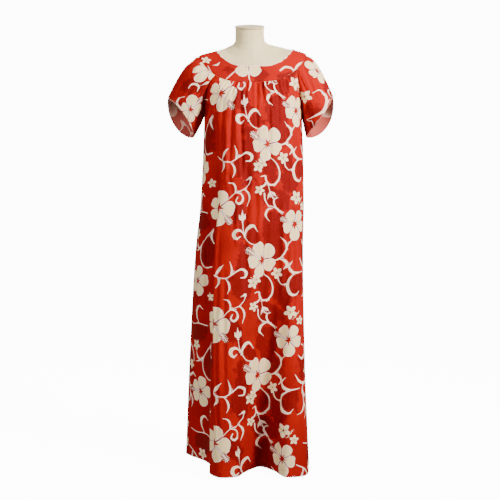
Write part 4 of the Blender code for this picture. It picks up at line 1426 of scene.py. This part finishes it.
def linen(name, light, shade):
    """Undyed linen stretched over the form, with its sewn seams."""
    look = Look(name)
    parts = look.node("ShaderNodeSeparateXYZ", {"Vector": look.place})
    x, z = Value(look, parts.outputs["X"]), Value(look, parts.outputs["Z"])
    offs = [(x - seam - (z - LEAN_START) * lean).size() for seam, lean in LINEN_SEAMS]
    seams = offs[0].least(offs[1]).least(offs[2]).ramp(*LINEN_SEAM_BAND)
    thread = look.grain(LINEN_THREAD_SCALE)
    colour = look.paint(look.patches(LINEN_CLOUD), light, shade)
    colour = look.paint(thread.ramp(*LINEN_THREAD_BAND), colour, shade)
    dark = tuple(LINEN_SEAM_DARKNESS * part for part in shade)
    colour = look.paint(seams * 0.35, colour, dark)
    look.set({"Base Color": colour, "Roughness": 0.85, "Specular IOR Level": 0.2})
    look.bump(thread - seams * 2.0, *LINEN_BUMP)
    return look.material


def dark_metal():
    """Powder-coated dark metal of the stand."""
    look = Look("stand_metal_look")
    worn = look.patches(METAL_WEAR)
    look.set({
        "Base Color": look.paint(worn, METAL_DARK, METAL_WORN),
        "Metallic": 0.6,
        "Roughness": worn * 0.15 + 0.38,
    })
    look.bump(look.grain(METAL_GRAIN), *METAL_BUMP)
    return look.material


# Pieces. An origin is the place of the repeat's first flower on a back piece
FRONT_AND_BACK = (("front", True), ("back", False))
BACK_ORIGIN = (-0.051, 0.768)
YOKE_BACK_ORIGIN = (-0.055, 1.345)
SLEEVE_BACK_ORIGIN = (0.23, 1.28)
YOKE_COLUMNS = 240
YOKE_ROW_COUNT = 40
YOKE_UP_SCALE = 0.9
# Strength of the painted highlight along the neckline's fold
YOKE_FOLD_HIGHLIGHT = 0.9


def build_panels(material):
    made = {}
    for name, front in FRONT_AND_BACK:
        grid = panel_grid(front)
        u, v = panel_places(grid, front)
        values = repeat_print(u, v, REPEAT_ORIGIN if front else BACK_ORIGIN)
        grid = creased_panel(grid, u, v, FRONT_CREASES if front else BACK_CREASES)
        edge = v - HEM_Z
        values.update(edge_values(edge, u, SKIRT_HEM))
        grid = hemmed(grid, edge, SKIRT_HEM)
        made[f"panel_{name}"] = cloth_piece(f"dress_{name}", grid, values, material)
    return made


def yoke_grid(front):
    gap = math.degrees(SEAM_GAP / YOKE_RING.half_width)
    first = -180 if front else 0
    angle = np.linspace(first + gap, first + 180 - gap, YOKE_COLUMNS + 1)
    stations = np.linspace(NECKLINE, YOKE_SEAM, YOKE_ROW_COUNT + 1)
    return np.array([dress_surface(angle, station) for station in stations])


def build_yokes(material):
    made = {}
    for name, front in FRONT_AND_BACK:
        grid = yoke_grid(front)
        edge = along(grid)
        v = grid[-1, :, 2] + (edge[-1] - edge) * YOKE_UP_SCALE
        if front:
            values = placed_print(grid[..., 0], v, YOKE_FRONT_PRINT)
        else:
            values = repeat_print(-grid[..., 0], v, YOKE_BACK_ORIGIN)
        values.update(edge_values(edge, along(grid[0])[None, :], NECK_FACING, YOKE_FOLD_HIGHLIGHT))
        grid = hemmed(grid, edge, NECK_FACING)
        made[f"yoke_{name}"] = cloth_piece(f"neck_yoke_{name}", grid, values, material)
    return made


def build_sleeves(material):
    prints = {"right": RIGHT_SLEEVE_PRINT, "left": LEFT_SLEEVE_PRINT}
    made = {}
    for sleeve in SLEEVES:
        for petal, front in FRONT_AND_BACK:
            grid, angle, down = petal_grid(sleeve, front)
            u, v = petal_places(grid, sleeve, front)
            if front:
                values = placed_print(u, v, prints[sleeve.name])
            else:
                origin = (sleeve.side * SLEEVE_BACK_ORIGIN[0], SLEEVE_BACK_ORIGIN[1])
                values = repeat_print(u, v, origin)
            grid = creased_petal(sleeve, front, grid, angle, down)
            to_rim = np.linalg.norm(grid - grid[-1:], axis=2)
            first = 0 if abs(angle[0, 0]) < abs(angle[0, -1]) else -1
            beside = np.linalg.norm(grid - grid[:, first][:, None], axis=2)
            edge = np.minimum(to_rim, beside)
            along_edge = np.where(to_rim < beside, along(grid, 1), to_rim)
            values.update(edge_values(edge, along_edge, PETAL_HEM))
            grid = hemmed(grid, edge, PETAL_HEM)
            name = f"sleeve_{sleeve.name}_{petal}"
            made[name] = cloth_piece(f"petal_{sleeve.name}_{petal}", grid, values, material)
    return made


def dress_the_form():
    metal = dark_metal()
    looks = {
        "form_torso": linen("form_linen_look", FORM_LIGHT, FORM_SHADE),
        "form_neck_cap": linen("cap_linen_look", CAP_LIGHT, CAP_SHADE),
        "stand_pole": metal,
        "stand_base": metal,
    }
    for name, material in looks.items():
        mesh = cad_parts[name].data
        mesh.materials.clear()
        mesh.materials.append(material)


# Studio. The camera's focal length is in pixels of the picture
CAMERA_PLACE = (0.0, -2.8, 0.748)
FOCAL_PIXELS = 800
PICTURE_PIXELS = 500
SENSOR = 36.0


def add_camera():
    data = bpy.data.cameras.new("camera")
    data.sensor_width = SENSOR
    data.lens = SENSOR * FOCAL_PIXELS / PICTURE_PIXELS
    data.clip_end = 50
    camera = bpy.data.objects.new("camera", data)
    camera.location = CAMERA_PLACE
    camera.rotation_euler = (math.radians(90), 0, 0)
    bpy.context.scene.collection.objects.link(camera)
    bpy.context.scene.camera = camera


# A lamp's size is in metres, its power in watts and its spread in degrees
Lamp = namedtuple("Lamp", "name place target size power colour spread")
LAMPS = (
    Lamp("key", (2.2, -1.85, 2.5), (0, 0, 1.3), 1.0, 72, (1.0, 0.96, 0.90), 90),
    Lamp("fill", (-1.9, -2.8, 1.9), (-0.1, 0, 1.15), 1.8, 37, (1.0, 0.99, 0.97), 120),
    Lamp("back", (0.6, 2.4, 2.6), (0, 0, 1.0), 1.5, 60, (1, 1, 1), 180),
)


def add_light(lamp):
    data = bpy.data.lights.new(lamp.name, "AREA")
    data.shape = "SQUARE"
    data.size = lamp.size
    data.energy = lamp.power
    data.color = lamp.colour
    data.spread = math.radians(lamp.spread)
    light = bpy.data.objects.new(lamp.name, data)
    light.location = lamp.place
    way = np.array(lamp.target) - np.array(lamp.place)
    light.rotation_euler = (
        math.atan2(math.hypot(way[0], way[1]), -way[2]),
        0,
        math.atan2(way[1], way[0]) - math.pi / 2,
    )
    bpy.context.scene.collection.objects.link(light)


# A flat floor that bends up into a wall, and a cylinder round everything
WHITE = (1, 1, 1)
PAPER_COLOUR = (0.86, 0.86, 0.86)
PAPER_GLOW = 12.0
WORLD_STRENGTH = 0.36
FLOOR_HALF = 30.0
WALL_Y = 4.5
WALL_BEND = 1.5
BEND_STEPS = 12
WALL_TOP = 7.0
SURROUND_RADIUS = 29.0
SURROUND_TOP = 30.0
SURROUND_STEPS = 64


def paper_sheet(name, rows, material):
    """One sheet of studio paper over rows of points. It lights nothing by itself."""
    points = [point for row in rows for point in row]
    index = np.arange(len(points)).reshape(len(rows), -1)
    sheet = new_object(name, points, quads(index)[:, ::-1].tolist(), material)
    sheet.visible_diffuse = False
    sheet.visible_glossy = False
    return sheet


def add_studio():
    """A pale seamless floor and wall, a far pale surround, and soft lights."""
    paper = Look("studio_paper")
    paper.set({
        "Base Color": PAPER_COLOUR,
        "Roughness": 0.9,
        "Emission Color": WHITE,
        "Emission Strength": PAPER_GLOW,
    })
    start = WALL_Y - WALL_BEND
    profile = [(-FLOOR_HALF, 0.0), (start, 0.0)]
    for turn in np.radians(np.linspace(-90, 0, BEND_STEPS + 1)[1:]):
        bent = (start + WALL_BEND * math.cos(turn), WALL_BEND + WALL_BEND * math.sin(turn))
        profile.append(bent)
    profile.append((WALL_Y, WALL_TOP))
    rows = [[(x, y, z) for x in (-FLOOR_HALF, FLOOR_HALF)] for y, z in profile]
    paper_sheet("studio_floor", rows, paper.material)
    turns = np.linspace(0, 2 * math.pi, SURROUND_STEPS + 1)
    ring = SURROUND_RADIUS * np.stack((np.cos(turns), np.sin(turns)), axis=1)
    rows = [[(x, y, z) for x, y in ring.tolist()] for z in (0.0, SURROUND_TOP)]
    surround = paper_sheet("studio_surround", rows, paper.material)
    surround.visible_shadow = False
    world = bpy.data.worlds.new("studio")
    world.use_nodes = True
    background = world.node_tree.nodes["Background"]
    background.inputs["Color"].default_value = (*WHITE, 1)
    background.inputs["Strength"].default_value = WORLD_STRENGTH
    bpy.context.scene.world = world
    for lamp in LAMPS:
        add_light(lamp)


def main():
    add_camera()
    cotton = printed_cotton()
    pieces = {}
    pieces.update(build_panels(cotton))
    pieces.update(build_yokes(cotton))
    pieces.update(build_sleeves(cotton))
    dress_the_form()
    add_studio()
    for node_name, piece in pieces.items():
        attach(piece, "root")
        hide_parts(node_name)
    sheets = {
        "panel_front": (0.93, 1.40),
        "panel_back": (0.76, 1.40),
        "yoke_front": (0.46, 0.16),
        "yoke_back": (0.46, 0.14),
        "sleeve_left_front": (0.30, 0.19),
        "sleeve_left_back": (0.36, 0.21),
        "sleeve_right_front": (0.32, 0.21),
        "sleeve_right_back": (0.36, 0.23),
    }
    for node_name, flat in sheets.items():
        mesh = pieces[node_name].data
        area = sum(polygon.area for polygon in mesh.polygons) / 2


main()
